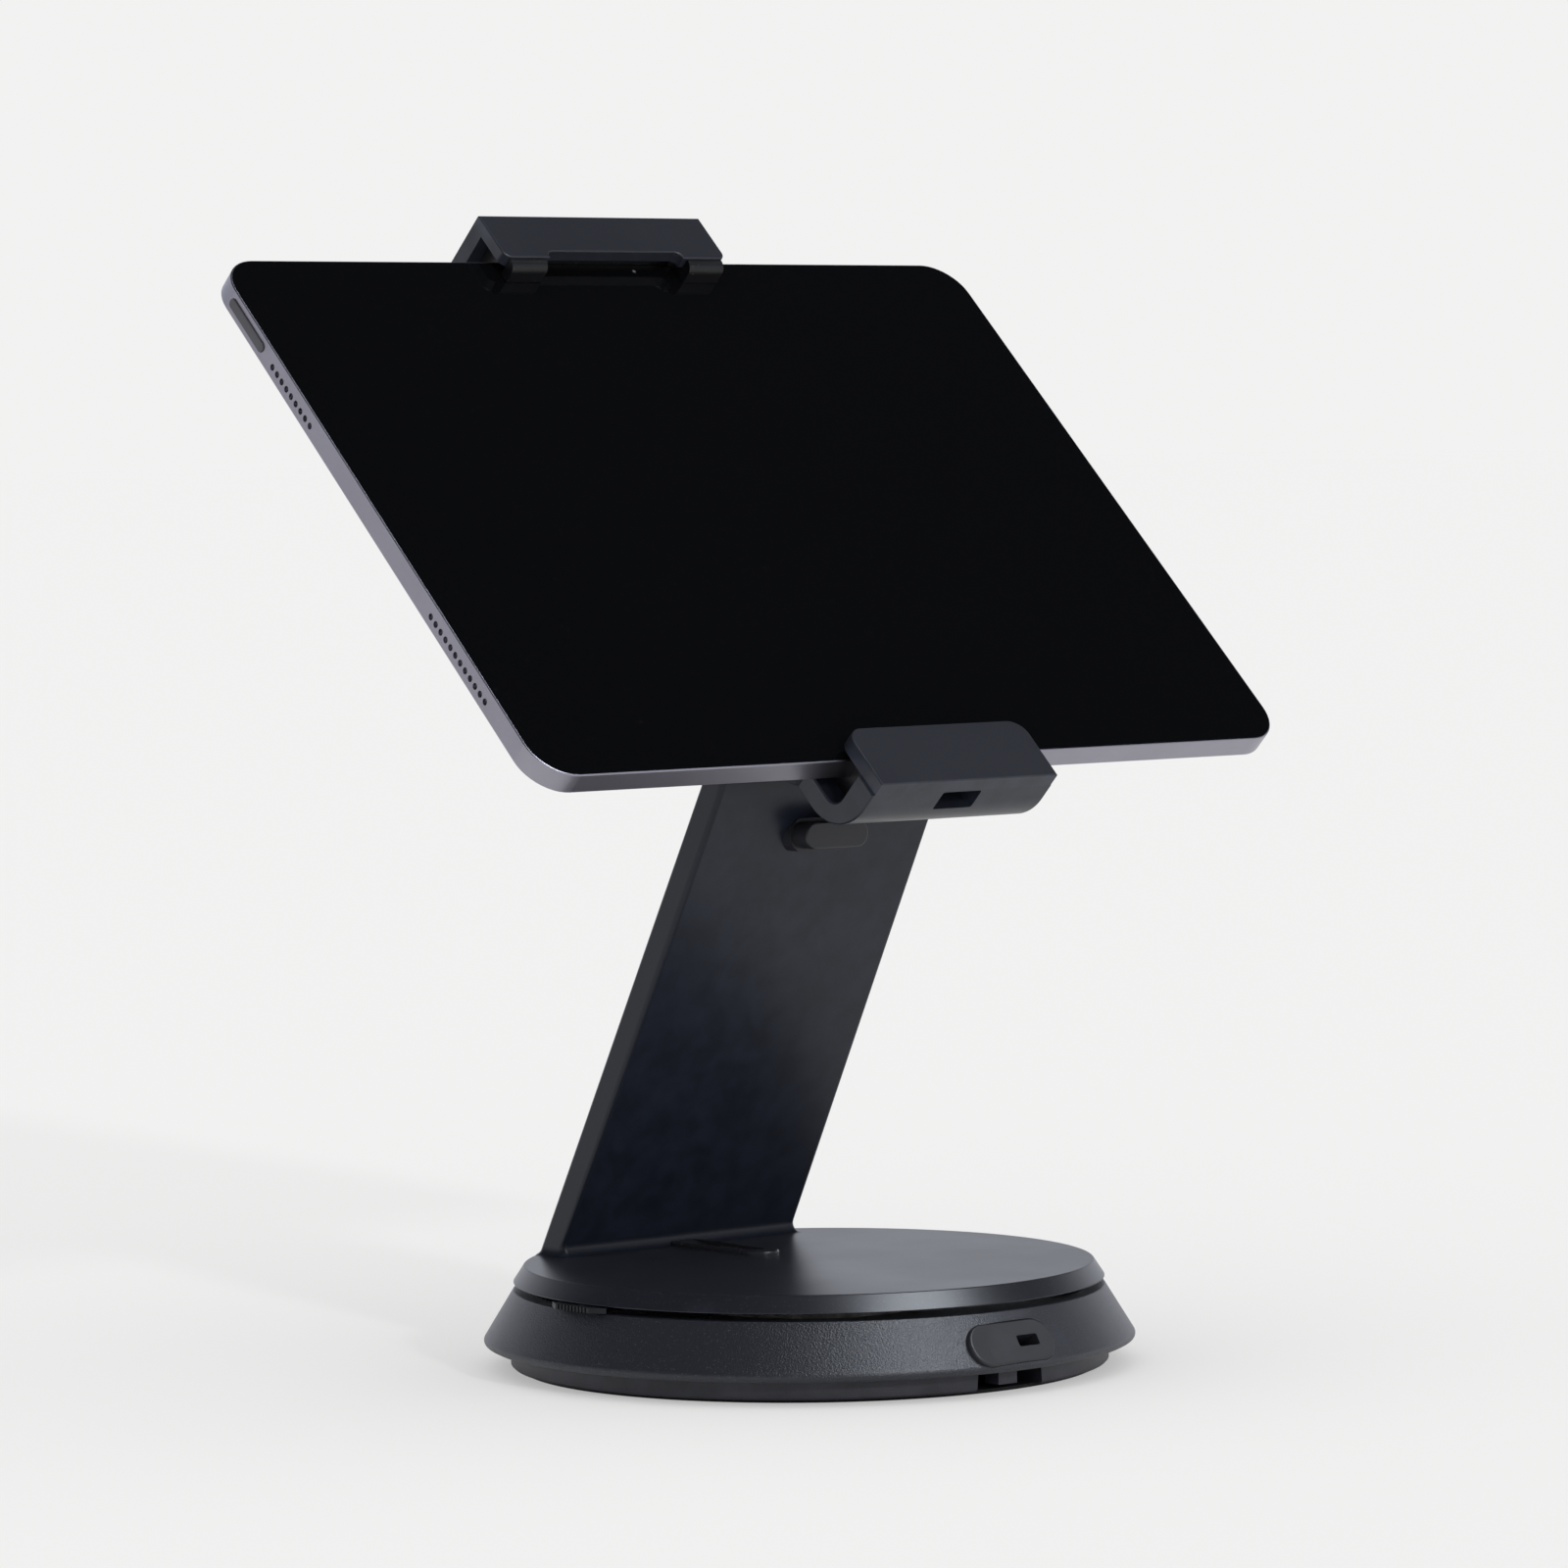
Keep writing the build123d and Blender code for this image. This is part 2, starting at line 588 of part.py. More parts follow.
def base_skirt():
    inner_wide_r = SKIRT_WIDE_R - SKIRT_WALL - SKIRT_ROUND
    lip_r = PAN_R - SKIRT_LIP_LAP
    skirt = turned(
        [
            (HUB_TUBE_R + SHAFT_GAP, DECK_LOW_Z),
            (RIM_IN_R - EDGE_BREAK, DECK_LOW_Z),
            (inner_wide_r, PAN_TOP_Z + SKIRT_LIP_THICK),
            (lip_r, PAN_TOP_Z + SKIRT_LIP_THICK),
            (lip_r, PAN_TOP_Z),
            (SKIRT_WIDE_R - SKIRT_TUCK, PAN_TOP_Z),
            (SKIRT_WIDE_R, SKIRT_WIDE_Z),
            (SKIRT_TOP_R, SKIRT_TOP_Z),
            (RIM_IN_R, SKIRT_TOP_Z),
            (RIM_IN_R, DECK_TOP_Z),
            (HUB_TUBE_R + SHAFT_GAP, DECK_TOP_Z),
        ]
    )
    for radius, rounding in ((SKIRT_WIDE_R, SKIRT_ROUND), (SKIRT_TOP_R, EDGE_BREAK)):
        circles = skirt.edges().filter_by(GeomType.CIRCLE)
        rim = circles.filter_by(lambda edge: abs(edge.radius - radius) < SEAT_GAP)
        skirt = fillet(rim, rounding)
    for place in pan_screw_places():
        boss = ring(PAN_BOSS_R, 0, PAN_TOP_Z, DECK_LOW_Z)
        skirt += place * Pos(0, 0, -PAN_LOW_Z) * boss
        skirt -= place * Cylinder(PAN_SCREW_R + SEAT_GAP, 2 * (PAN_SCREW_LENGTH + SLIDE_GAP))
    skirt += lock_rails()
    skirt += swivel_stop_arc()
    well = Pos(PLUG_OFFSET, 0, 0) * stadium(
        PLUG_L + 2 * SEAT_GAP, PLUG_H + 2 * SEAT_GAP, -PLUG_DEPTH - SEAT_GAP, OVERRUN
    )
    skirt -= plug_plane() * well
    pocket = block(
        (SECURITY_SLOT_OFFSET - SECURITY_SLOT_W / 2, SECURITY_SLOT_OFFSET + SECURITY_SLOT_W / 2),
        (-SECURITY_SLOT_H / 2, SECURITY_SLOT_H / 2),
        (-SECURITY_POCKET_DEPTH, 0),
    )
    return skirt - plug_plane() * pocket


def security_plug():
    plug = Pos(PLUG_OFFSET, 0, 0) * stadium(PLUG_L, PLUG_H, -PLUG_DEPTH, PLUG_PROUD)
    front = plug.faces().sort_by(Axis.Z)[-1]
    plug = fillet(front.edges(), PLUG_ROUND)
    slot = RectangleRounded(SECURITY_SLOT_W, SECURITY_SLOT_H, SECURITY_SLOT_ROUND)
    through = extrude(slot, PLUG_DEPTH + 2 * OVERRUN)
    plug -= Pos(SECURITY_SLOT_OFFSET, 0, -PLUG_DEPTH - OVERRUN) * through
    return plug_plane() * plug


def rotation_lock_tab():
    """The pull tab: finger lip outside the rim, plate in the gap and a guide rib below it."""
    half_lip = LOCK_TAB_LIP_W / 2
    half_flare = LOCK_TAB_FLARE_W / 2
    half_plate = LOCK_TAB_PLATE_W / 2
    neck_x = -(LOCK_TAB_LIP_X - RIM_WIDTH)
    outline = make_face(
        Polyline(
            (-LOCK_TAB_OUT_X, -half_lip),
            (-LOCK_TAB_OUT_X, half_lip),
            (-LOCK_TAB_LIP_X, half_flare),
            (neck_x, half_plate),
            (-LOCK_TAB_INNER_X, half_plate),
            (-LOCK_TAB_INNER_X, -half_plate),
            (neck_x, -half_plate),
            (-LOCK_TAB_LIP_X, -half_flare),
            close=True,
        )
    )
    tab = Pos(0, 0, LOCK_TAB_LOW_Z) * extrude(outline, LOCK_TAB_TOP_Z - LOCK_TAB_LOW_Z)
    outside = block(
        (-LOCK_TAB_OUT_X - OVERRUN, -LOCK_TAB_LIP_X),
        (-LOCK_TAB_FLARE_W, LOCK_TAB_FLARE_W),
        (0, TURNTABLE_TOP_Z),
    )
    lip_top_z = TURNTABLE_LOW_Z - LOCK_TAB_LIP_DROP
    lip = Pos(0, 0, lip_top_z - LOCK_TAB_LIP_THICK) * extrude(outline, LOCK_TAB_LIP_THICK)
    tab = (tab - outside) + (lip & outside)
    corners = tab.edges().filter_by(Axis.Z)
    corners = corners.filter_by(lambda edge: abs(edge.center().X + LOCK_TAB_OUT_X) < EDGE_BREAK)
    tab = fillet(corners, EDGE_BREAK)
    step = LOCK_TAB_LIP_W / (LOCK_SERRATION_COUNT + 1)
    for index in range(LOCK_SERRATION_COUNT):
        y = -half_lip + step * (index + 1)
        tab -= block(
            (-LOCK_TAB_OUT_X - OVERRUN, -LOCK_TAB_OUT_X + LOCK_SERRATION_DEPTH),
            (y - LOCK_SERRATION_W / 2, y + LOCK_SERRATION_W / 2),
            (0, TURNTABLE_TOP_Z),
        )
    rib_half = LOCK_TAB_RIB_W / 2
    rib_x = (-RIM_IN_R + LOCK_TAB_TRAVEL + SLIDE_GAP, -LOCK_TAB_INNER_X)
    return tab + block(rib_x, (-rib_half, rib_half), (DECK_TOP_Z + SLIDE_GAP, LOCK_TAB_TOP_Z))


def brake_shoe():
    """The rubber shoe on the tab's inner end, hollowed to the hub's flange."""
    half = LOCK_TAB_PLATE_W / 2
    shoe_x = (-LOCK_TAB_INNER_X, BRAKE_GAP - HUB_FLANGE_R)
    shoe = block(shoe_x, (-half, half), (HUB_FLANGE_LOW_Z, LOCK_TAB_TOP_Z))
    return shoe - ring(HUB_FLANGE_R + BRAKE_GAP, 0, 0, TURNTABLE_TOP_Z)


# Swivel and turntable


def hub_screw_places(height):
    return around(HUB_SCREW_COUNT, HUB_SCREW_FIRST_ANGLE, HUB_SCREW_CIRCLE_R, height)


def cable_way(low_z, high_z):
    """The straight cable slot from the hub's bore back to the grommet."""
    half = CABLE_GROOVE_W / 2
    back_y = GROMMET_Y + GROMMET_L / 2 - GROMMET_LIP - CABLE_GROOVE_W / 2
    return block((-half, half), (0, back_y), (low_z, high_z))


def swivel_hub():
    hub = ring(HUB_FLANGE_R, HUB_BORE_R, HUB_FLANGE_LOW_Z, TURNTABLE_LOW_Z)
    hub += ring(HUB_TUBE_R, HUB_BORE_R, RETAINER_TOP_Z - RETAINER_THICK, HUB_FLANGE_LOW_Z)
    hub -= cable_way(HUB_FLANGE_LOW_Z, TURNTABLE_TOP_Z)
    for place in hub_screw_places(HUB_FLANGE_LOW_Z):
        hub -= place * Cylinder(SMALL_SCREW_R + SEAT_GAP, 4 * OVERRUN)
        hub -= place * Cylinder(SMALL_HEAD_R + SLIDE_GAP, 2 * (SMALL_HEAD_H + SEAT_GAP))
    return hub


def hub_screws():
    shank = SMALL_SCREW_LENGTH - SMALL_HEAD_H
    screw = pan_head_screw(SMALL_SCREW_R, SMALL_HEAD_R, shank, SMALL_HEAD_H)
    seat_z = HUB_FLANGE_LOW_Z + SMALL_HEAD_H + SEAT_GAP
    return [place * screw for place in hub_screw_places(seat_z)]


def slip_ring():
    outer_r = HUB_FLANGE_R - SLIP_RING_INSET
    return ring(outer_r, HUB_TUBE_R + SHAFT_GAP, DECK_TOP_Z, HUB_FLANGE_LOW_Z - RUNNING_GAP)


def swivel_retainer():
    low_z = RETAINER_TOP_Z - RETAINER_THICK
    body = ring(RETAINER_R, HUB_TUBE_R, low_z, RETAINER_TOP_Z)
    half = STOP_LUG_W / 2
    lug = block((-half, half), (-STOP_LUG_R, -HUB_TUBE_R - RETAINER_THICK), (low_z, RETAINER_TOP_Z))
    return body + lug


def turntable_plate():
    plate = turned(
        [
            (0, TURNTABLE_LOW_Z),
            (TURNTABLE_R, TURNTABLE_LOW_Z),
            (TURNTABLE_R - TURNTABLE_BEVEL, TURNTABLE_TOP_Z),
            (0, TURNTABLE_TOP_Z),
        ]
    )
    plate = fillet(plate.edges().filter_by(GeomType.CIRCLE).sort_by(Axis.Z)[-1], EDGE_BREAK)
    plate = fillet(plate.edges().filter_by(GeomType.CIRCLE).sort_by(Axis.Z)[0], TURNTABLE_LOW_BREAK)
    plate -= cable_way(TURNTABLE_LOW_Z - OVERRUN, TURNTABLE_LOW_Z + CABLE_GROOVE_DEPTH)
    slot = stadium(
        GROMMET_L - 2 * GROMMET_LIP + 2 * SEAT_GAP,
        GROMMET_W - 2 * GROMMET_LIP + 2 * SEAT_GAP,
        TURNTABLE_LOW_Z - OVERRUN,
        TURNTABLE_TOP_Z + OVERRUN,
    )
    plate -= Pos(0, GROMMET_Y, 0) * Rot(0, 0, 90) * slot
    for place in hub_screw_places(TURNTABLE_LOW_Z):
        plate -= place * Cylinder(SMALL_SCREW_R + SEAT_GAP, SMALL_SCREW_LENGTH)
    for x in FOOT_SCREW_XS:
        place = Pos(x, FOOT_SCREW_Y, TURNTABLE_LOW_Z)
        plate -= place * Cylinder(FOOT_SCREW_R + SEAT_GAP, 4 * OVERRUN)
        plate -= place * Cylinder(FOOT_SCREW_HEAD_R + SEAT_GAP, 2 * (FOOT_SCREW_HEAD_H + SEAT_GAP))
    return plate


def cable_grommet():
    """A raised stadium lip, open in front and ramped up to the arm behind."""
    low_z = TURNTABLE_TOP_Z - GROMMET_DEPTH
    high_z = TURNTABLE_TOP_Z + GROMMET_RISE
    body = stadium(GROMMET_L, GROMMET_W, TURNTABLE_TOP_Z, high_z)
    rim = body.faces().sort_by(Axis.Z)[-1].edges()
    body = fillet(rim, GROMMET_RISE / 2)
    body += stadium(GROMMET_L - 2 * GROMMET_LIP, GROMMET_W - 2 * GROMMET_LIP, low_z, TURNTABLE_TOP_Z)
    grommet = Pos(0, GROMMET_Y, 0) * Rot(0, 0, 90) * body
    front_y = GROMMET_Y - GROMMET_L / 2 + GROMMET_FRONT_MARGIN
    opening_y = front_y + GROMMET_OPEN_L / 2
    valley_y = front_y + GROMMET_OPEN_L - GROMMET_OPEN_W
    opening = stadium(GROMMET_OPEN_L, GROMMET_OPEN_W, low_z - OVERRUN, high_z + OVERRUN)
    grommet -= Pos(0, opening_y, 0) * Rot(0, 0, 90) * opening
    lower_half = GROMMET_W / 2 - GROMMET_LIP
    valley = Plane.YZ * make_face(
        Polyline(
            (valley_y, TURNTABLE_TOP_Z - GROMMET_RISE),
            (ARM_FRONT_Y - GROMMET_LIP, high_z + SEAT_GAP),
            (valley_y, high_z + SEAT_GAP),
            close=True,
        )
    )
    grommet -= extrude(valley, lower_half, both=True)
    return grommet - arm_slab()


# Arm


def arm_profile(front_skin, back_skin, foot_rise, top_y):
    """The bent side outline between a front and a back offset, from the foot to the head plate."""
    lean = math.radians(ARM_LEAN)
    tilt = math.radians(TILT)
    up = Vector(-math.sin(lean), math.cos(lean))
    inward = Vector(math.cos(lean), math.sin(lean))
    head_up = Vector(math.sin(tilt), math.cos(tilt))
    head_out = Vector(-math.cos(tilt), math.sin(tilt))
    foot = Vector(ARM_FRONT_Y, TURNTABLE_TOP_Z)
    centre = Vector(TABLET_Y, TABLET_Z)

    def line_points(depth):
        start = foot + inward * depth
        level_run = (TURNTABLE_TOP_Z + foot_rise - start.Y) / up.Y
        low = start + up * level_run
        corner_run = ((ARM_FRONT_Z - depth) - (start - centre).dot(head_out)) / up.dot(head_out)
        corner = start + up * corner_run
        top = centre + head_out * (ARM_FRONT_Z - depth) + head_up * top_y
        return low, corner, top

    front_low, front_corner, front_top = line_points(front_skin)
    back_low, back_corner, back_top = line_points(ARM_THICK - back_skin)
    points = [front_low, front_corner, front_top, back_top, back_corner, back_low]
    outline = make_face(Polyline(*[(point.X, point.Y) for point in points], close=True))
    outer_r = ARM_BEND_IN_R + ARM_THICK - front_skin
    inner_r = ARM_BEND_IN_R + back_skin
    bends = outline.vertices()
    front_bend = bends.sort_by_distance((front_corner.X, front_corner.Y, 0))[0]
    outline = fillet(front_bend, outer_r)
    back_bend = outline.vertices().sort_by_distance((back_corner.X, back_corner.Y, 0))[0]
    outline = fillet(back_bend, inner_r)
    return Plane.YZ * outline


def arm_sides(inset):
    """The tapering front outline of the arm, as a prism from front to back."""
    top_z = TABLET_Z + TABLET_H / 2
    top_half = ARM_HALF_W - ARM_TAPER_SLOPE_SHARE * (top_z - TURNTABLE_TOP_Z) - inset
    low_half = ARM_HALF_W - inset
    low_z = TURNTABLE_TOP_Z
    corners = [(-low_half, low_z), (low_half, low_z), (top_half, top_z), (-top_half, top_z)]
    outline = Plane.XZ * make_face(Polyline(*corners, close=True))
    return extrude(outline, 2 * ARM_HALF_W, both=True)


def head_height(edge):
    """How far an edge's middle lies up the screen from the middle of the tablet."""
    return (edge.center() - HEAD.origin).dot(HEAD.y_dir)


def arm_slab():
    """The arm's outer form with its rounded top corners, soft edges and flared foot."""
    slab = extrude(arm_profile(0, 0, 0, ARM_TOP_Y), ARM_HALF_W + OVERRUN, both=True) & arm_sides(0)
    corners = slab.edges().filter_by(
        lambda edge: head_height(edge) > ARM_TOP_Y - EDGE_BREAK
        and abs(edge.center().X) > ARM_HALF_W / 2
    )
    slab = fillet(corners, ARM_TOP_ROUND)
    side_edges = slab.edges().filter_by(
        lambda edge: abs(edge.center().X) > ARM_HALF_W / 2
        and abs(edge.tangent_at(0).X) < ARM_TAPER_SLOPE_SHARE * 2
        and edge.center().Z > TURNTABLE_TOP_Z + EDGE_BREAK
    )
    slab = fillet(side_edges, ARM_EDGE_ROUND)
    ground = ring(2 * TURNTABLE_R, 0, TURNTABLE_LOW_Z, TURNTABLE_TOP_Z)
    footed = ground + slab
    seam = footed.edges().filter_by(
        lambda edge: abs(edge.center().Z - TURNTABLE_TOP_Z) < SEAT_GAP and edge.center().Y > 0
        and abs(edge.center().X) < ARM_HALF_W + SEAT_GAP and edge.length < 2 * ARM_HALF_W + EDGE_BREAK
    )
    flared = fillet(seam, ARM_FOOT_FLARE)
    foot_top_z = TURNTABLE_TOP_Z + 2 * ARM_FOOT_FLARE
    foot_r = TURNTABLE_R - TURNTABLE_BEVEL - SEAT_GAP
    foot = flared & ring(foot_r, 0, TURNTABLE_TOP_Z, foot_top_z)
    return slab + foot


def peg_spigot(growth):
    """The peg's spigot through the arm's front skin, long along Y."""
    width = PEG_SPIGOT_W + 2 * growth
    height = PEG_SPIGOT_H + 2 * growth
    spigot = stadium(width, height, 0, ARM_THICK)
    return Pos(0, PEG_FOOT_Y - PEG_COLLAR_REACH, PEG_Z) * Rot(-90, 0, 0) * spigot


def arm_shell():
    shell = arm_slab()
    cavity_face = arm_profile(ARM_SKIN, -OVERRUN, ARM_FOOT_BLOCK, ARM_HUB_BLOCK_Y)
    cavity = extrude(cavity_face, ARM_HALF_W, both=True)
    cavity &= arm_sides(ARM_SIDE_WALL)
    shell -= cavity
    rib_back = ARM_COVER_THICK + SEAT_GAP
    rib_face = arm_profile(ARM_SKIN - EDGE_BREAK, rib_back, ARM_FOOT_BLOCK, ARM_HUB_BLOCK_Y)
    for x in (-ARM_RIB_X, ARM_RIB_X):
        shell += Pos(x, 0, 0) * extrude(rib_face, ARM_RIB_W / 2, both=True)
    shell -= HEAD * ring(BUSH_OUT_R, 0, ARM_BACK_Z - OVERRUN, ARM_FRONT_Z + OVERRUN)
    shell -= peg_spigot(SEAT_GAP)
    pin_hole = ring(HEAD_STOP_PIN_R, 0, HEAD_STOP_PIN_TOP_Z - HEAD_STOP_PIN_L, ARM_FRONT_Z + OVERRUN)
    shell -= HEAD * head_stop_place() * pin_hole
    depth = FOOT_SCREW_HEAD_H + FOOT_SCREW_LENGTH + SLIDE_GAP
    for x in FOOT_SCREW_XS:
        hole = ring(FOOT_SCREW_R + SEAT_GAP, 0, 0, depth)
        shell -= Pos(x, FOOT_SCREW_Y, TURNTABLE_LOW_Z) * hole
    return shell


def arm_back_cover():
    face = arm_profile(
        ARM_THICK - ARM_COVER_THICK, 0, ARM_FOOT_BLOCK + SLIDE_GAP, ARM_HUB_BLOCK_Y - SLIDE_GAP
    )
    return extrude(face, ARM_HALF_W, both=True) & arm_sides(ARM_SIDE_WALL + SLIDE_GAP / 2)


def foot_screws():
    screw = pan_head_screw(FOOT_SCREW_R, FOOT_SCREW_HEAD_R, FOOT_SCREW_LENGTH, FOOT_SCREW_HEAD_H)
    seat_z = TURNTABLE_LOW_Z + FOOT_SCREW_HEAD_H
    return [Pos(x, FOOT_SCREW_Y, seat_z) * screw for x in FOOT_SCREW_XS]


def cable_peg():
    """A level pill on a wider collar, which the slack of the tablet's cable can hang from."""
    reach = ARM_FRONT_Y
    pill = Pos(0, PEG_FOOT_Y - PEG_REACH, PEG_Z) * Rot(-90, 0, 0) * stadium(PEG_W, PEG_H, 0, reach)
    tip = pill.faces().sort_by(Axis.Y)[0]
    pill = fillet(tip.edges(), PEG_TIP_ROUND)
    growth = 2 * PEG_COLLAR_GROWTH
    collar = stadium(PEG_W + growth, PEG_H + growth, 0, reach)
    pill += Pos(0, PEG_FOOT_Y - PEG_COLLAR_REACH, PEG_Z) * Rot(-90, 0, 0) * collar
    front = extrude(arm_profile(0, 0, 0, ARM_TOP_Y), ARM_HALF_W, both=True)
    behind = Pos(0, ARM_THICK, 0) * front
    pill = pill - front - behind - Pos(0, ARM_THICK, 0) * behind
    pill = pill.solids().sort_by(Axis.Y)[0]
    skin = extrude(arm_profile(-SEAT_GAP, ARM_THICK - ARM_SKIN, 0, 0), ARM_HALF_W, both=True)
    return pill + (peg_spigot(0) & skin)


# Head pivot


def head_bush():
    body = ring(BUSH_OUT_R, SPINDLE_R + SHAFT_GAP, ARM_BACK_Z, ARM_FRONT_Z)
    flange_z = SPINDLE_FLANGE_BACK_Z - RUNNING_GAP
    body += ring(BUSH_OUT_R + BUSH_FLANGE_W, SPINDLE_R + SHAFT_GAP, ARM_FRONT_Z, flange_z)
    return HEAD * body


def head_stop_place():
    return Rot(0, 0, HEAD_STOP_ANGLE) * Pos(HEAD_STOP_R, 0, 0)


def head_stop_pin():
    pin = ring(HEAD_STOP_PIN_R, 0, HEAD_STOP_PIN_TOP_Z - HEAD_STOP_PIN_L, HEAD_STOP_PIN_TOP_Z)
    return HEAD * head_stop_place() * pin


def spindle_screw_places(height):
    first = SPINDLE_SCREW_FIRST_ANGLE
    return around(SPINDLE_SCREW_COUNT, first, SPINDLE_SCREW_CIRCLE_R, height)


def head_stop_groove():
    """An arc groove in the spindle's flange that lets the head turn past the stop pin."""
    half_w = HEAD_STOP_PIN_R + HEAD_STOP_PIN_GAP
    outline = Plane.XZ * make_face(
        Polyline(
            (HEAD_STOP_R - half_w, SPINDLE_FLANGE_BACK_Z - OVERRUN),
            (HEAD_STOP_R + half_w, SPINDLE_FLANGE_BACK_Z - OVERRUN),
            (HEAD_STOP_R + half_w, SPINDLE_FLANGE_BACK_Z + HEAD_STOP_GROOVE_DEPTH),
            (HEAD_STOP_R - half_w, SPINDLE_FLANGE_BACK_Z + HEAD_STOP_GROOVE_DEPTH),
            close=True,
        )
    )
    margin = math.degrees(math.asin(half_w / HEAD_STOP_R))
    groove = revolve(outline, Axis.Z, HEAD_TURN_ANGLE + 2 * margin)
    return Rot(0, 0, HEAD_STOP_ANGLE - margin) * groove


def head_spindle():
    body = ring(SPINDLE_FLANGE_R, 0, SPINDLE_FLANGE_BACK_Z, TRAY_BACK_Z)
    body += ring(SPINDLE_R, 0, SPINDLE_END_Z, SPINDLE_FLANGE_BACK_Z)
    body -= ring(SPINDLE_BORE_R, 0, SPINDLE_END_Z - OVERRUN, SPINDLE_FLANGE_BACK_Z - SPINDLE_WEB)
    body -= head_stop_groove()
    for place in spindle_screw_places(TRAY_BACK_Z):
        body -= place * Cylinder(SMALL_SCREW_R + SEAT_GAP, 2 * (SPINDLE_FLANGE_THICK - EDGE_BREAK))
    return HEAD * body


def spindle_screws():
    length = TRAY_FLOOR_THICK + SPINDLE_FLANGE_THICK - 2 * EDGE_BREAK
    screw = Rot(180, 0, 0) * flat_head_screw(SMALL_SCREW_R, SMALL_HEAD_R, length, SMALL_HEAD_H)
    return [HEAD * place * screw for place in spindle_screw_places(TRAY_FLOOR_Z)]


def spring_washer():
    return HEAD * ring(WASHER_R, SPINDLE_R, NUT_FRONT_Z, WASHER_FRONT_Z)


def hub_nut():
    body = ring(NUT_R, SPINDLE_R, NUT_FRONT_Z - NUT_THICK, NUT_FRONT_Z)
    for place in around(NUT_NOTCH_COUNT, 0, NUT_R, NUT_FRONT_Z - NUT_THICK / 2):
        body -= place * Box(2 * NUT_NOTCH_DEPTH, NUT_NOTCH_W, 2 * NUT_THICK)
    return HEAD * body


def hub_cap():
    body = ring(HUB_CAP_R, 0, HUB_CAP_INNER_Z - HUB_CAP_WALL, ARM_BACK_Z)
    back = body.faces().sort_by(Axis.Z)[0]
    body = fillet(back.edges(), HUB_CAP_ROUND)
    body -= ring(HUB_CAP_R - HUB_CAP_WALL, 0, HUB_CAP_INNER_Z, ARM_BACK_Z + OVERRUN)
    return HEAD * body


# Head chassis


def plate_screw_places(height):
    places = []
    for x in (-PLATE_SCREW_X, PLATE_SCREW_X):
        for y in (-PLATE_SCREW_Y, PLATE_SCREW_Y):
            places.append(Pos(x, y, height))
    return places


def lock_guides():
    """Two walls on the tray's floor that guide the lock bolt."""
    low_y = BOLT_HALF_H + SLIDE_GAP
    height = (TRAY_FLOOR_Z, TRAY_FLOOR_Z + BOLT_THICK)
    width = (-GUIDE_HALF_W, GUIDE_HALF_W)
    upper = block(width, (LOCK_Y + low_y, LOCK_Y + low_y + GUIDE_THICK), height)
    return upper + block(width, (LOCK_Y - low_y - GUIDE_THICK, LOCK_Y - low_y), height)


def head_tray():
    tray = rounded_plate(TRAY_HALF_W, TRAY_HALF_H, TRAY_CORNER_R, TRAY_BACK_Z, TRAY_FRONT_Z)
    tray -= block(
        (-CHANNEL_HALF_W, CHANNEL_HALF_W),
        (-TRAY_HALF_H - OVERRUN, TRAY_HALF_H + OVERRUN),
        (TRAY_FLOOR_Z, TRAY_FRONT_Z + OVERRUN),
    )
    back_edges = tray.faces().sort_by(Axis.Z)[0].edges()
    tray = fillet(back_edges, EDGE_BREAK)
    tray += lock_guides()
    boss = ring(LOCK_CYLINDER_R + LOCK_BOSS_WALL, 0, LOCK_BOSS_BACK_Z, TRAY_FLOOR_Z)
    bore = ring(LOCK_CYLINDER_R + SHAFT_GAP, 0, LOCK_BOSS_BACK_Z - OVERRUN, TRAY_FLOOR_Z + OVERRUN)
    tray = tray + Pos(0, LOCK_Y, 0) * boss - Pos(0, LOCK_Y, 0) * bore
    for place in spindle_screw_places(TRAY_FLOOR_Z):
        sink = Cone(SMALL_SCREW_R + SEAT_GAP, SMALL_HEAD_R + SEAT_GAP, SMALL_HEAD_H)
        tray -= place * Pos(0, 0, -SMALL_HEAD_H / 2) * sink
        tray -= place * Cylinder(SMALL_SCREW_R + SEAT_GAP, 2 * OVERRUN)
    for place in plate_screw_places(TRAY_FRONT_Z):
        tray -= place * Cylinder(SMALL_SCREW_R + SEAT_GAP, 2 * PLATE_SCREW_L)
    for x in (-JAW_SCREW_X, JAW_SCREW_X):
        tray -= Pos(x, JAW_SCREW_Y, TRAY_FLOOR_Z) * Cylinder(JAW_SCREW_R + SEAT_GAP, 2 * OVERRUN)
    return HEAD * tray


def head_front_plate():
    plate = rounded_plate(TRAY_HALF_W, TRAY_HALF_H, TRAY_CORNER_R, TRAY_FRONT_Z, PLATE_FRONT_Z)
    for place in plate_screw_places(PLATE_FRONT_Z):
        sink = Cone(SMALL_SCREW_R + SEAT_GAP, SMALL_HEAD_R + SEAT_GAP, SMALL_HEAD_H)
        plate -= place * Pos(0, 0, -SMALL_HEAD_H / 2) * sink
        plate -= place * Cylinder(SMALL_SCREW_R + SEAT_GAP, 2 * OVERRUN)
    return HEAD * plate


def plate_screws():
    screw = Rot(180, 0, 0) * flat_head_screw(SMALL_SCREW_R, SMALL_HEAD_R, PLATE_SCREW_L, SMALL_HEAD_H)
    return [HEAD * place * screw for place in plate_screw_places(PLATE_FRONT_Z)]


def tablet_pads():
    pad = rounded_plate(PAD_HALF_W, PAD_H / 2, PAD_ROUND, PLATE_FRONT_Z, -TABLET_T / 2)
    return [HEAD * Pos(0, y, 0) * pad for y in (-PAD_Y, PAD_Y)]


# Lower jaw


def side_prism(points, half_w):
    """A prism across the head from a (y, z) outline in the head's frame."""
    outline = Plane.YZ * make_face(Polyline(*points, close=True))
    return extrude(outline, half_w, both=True)


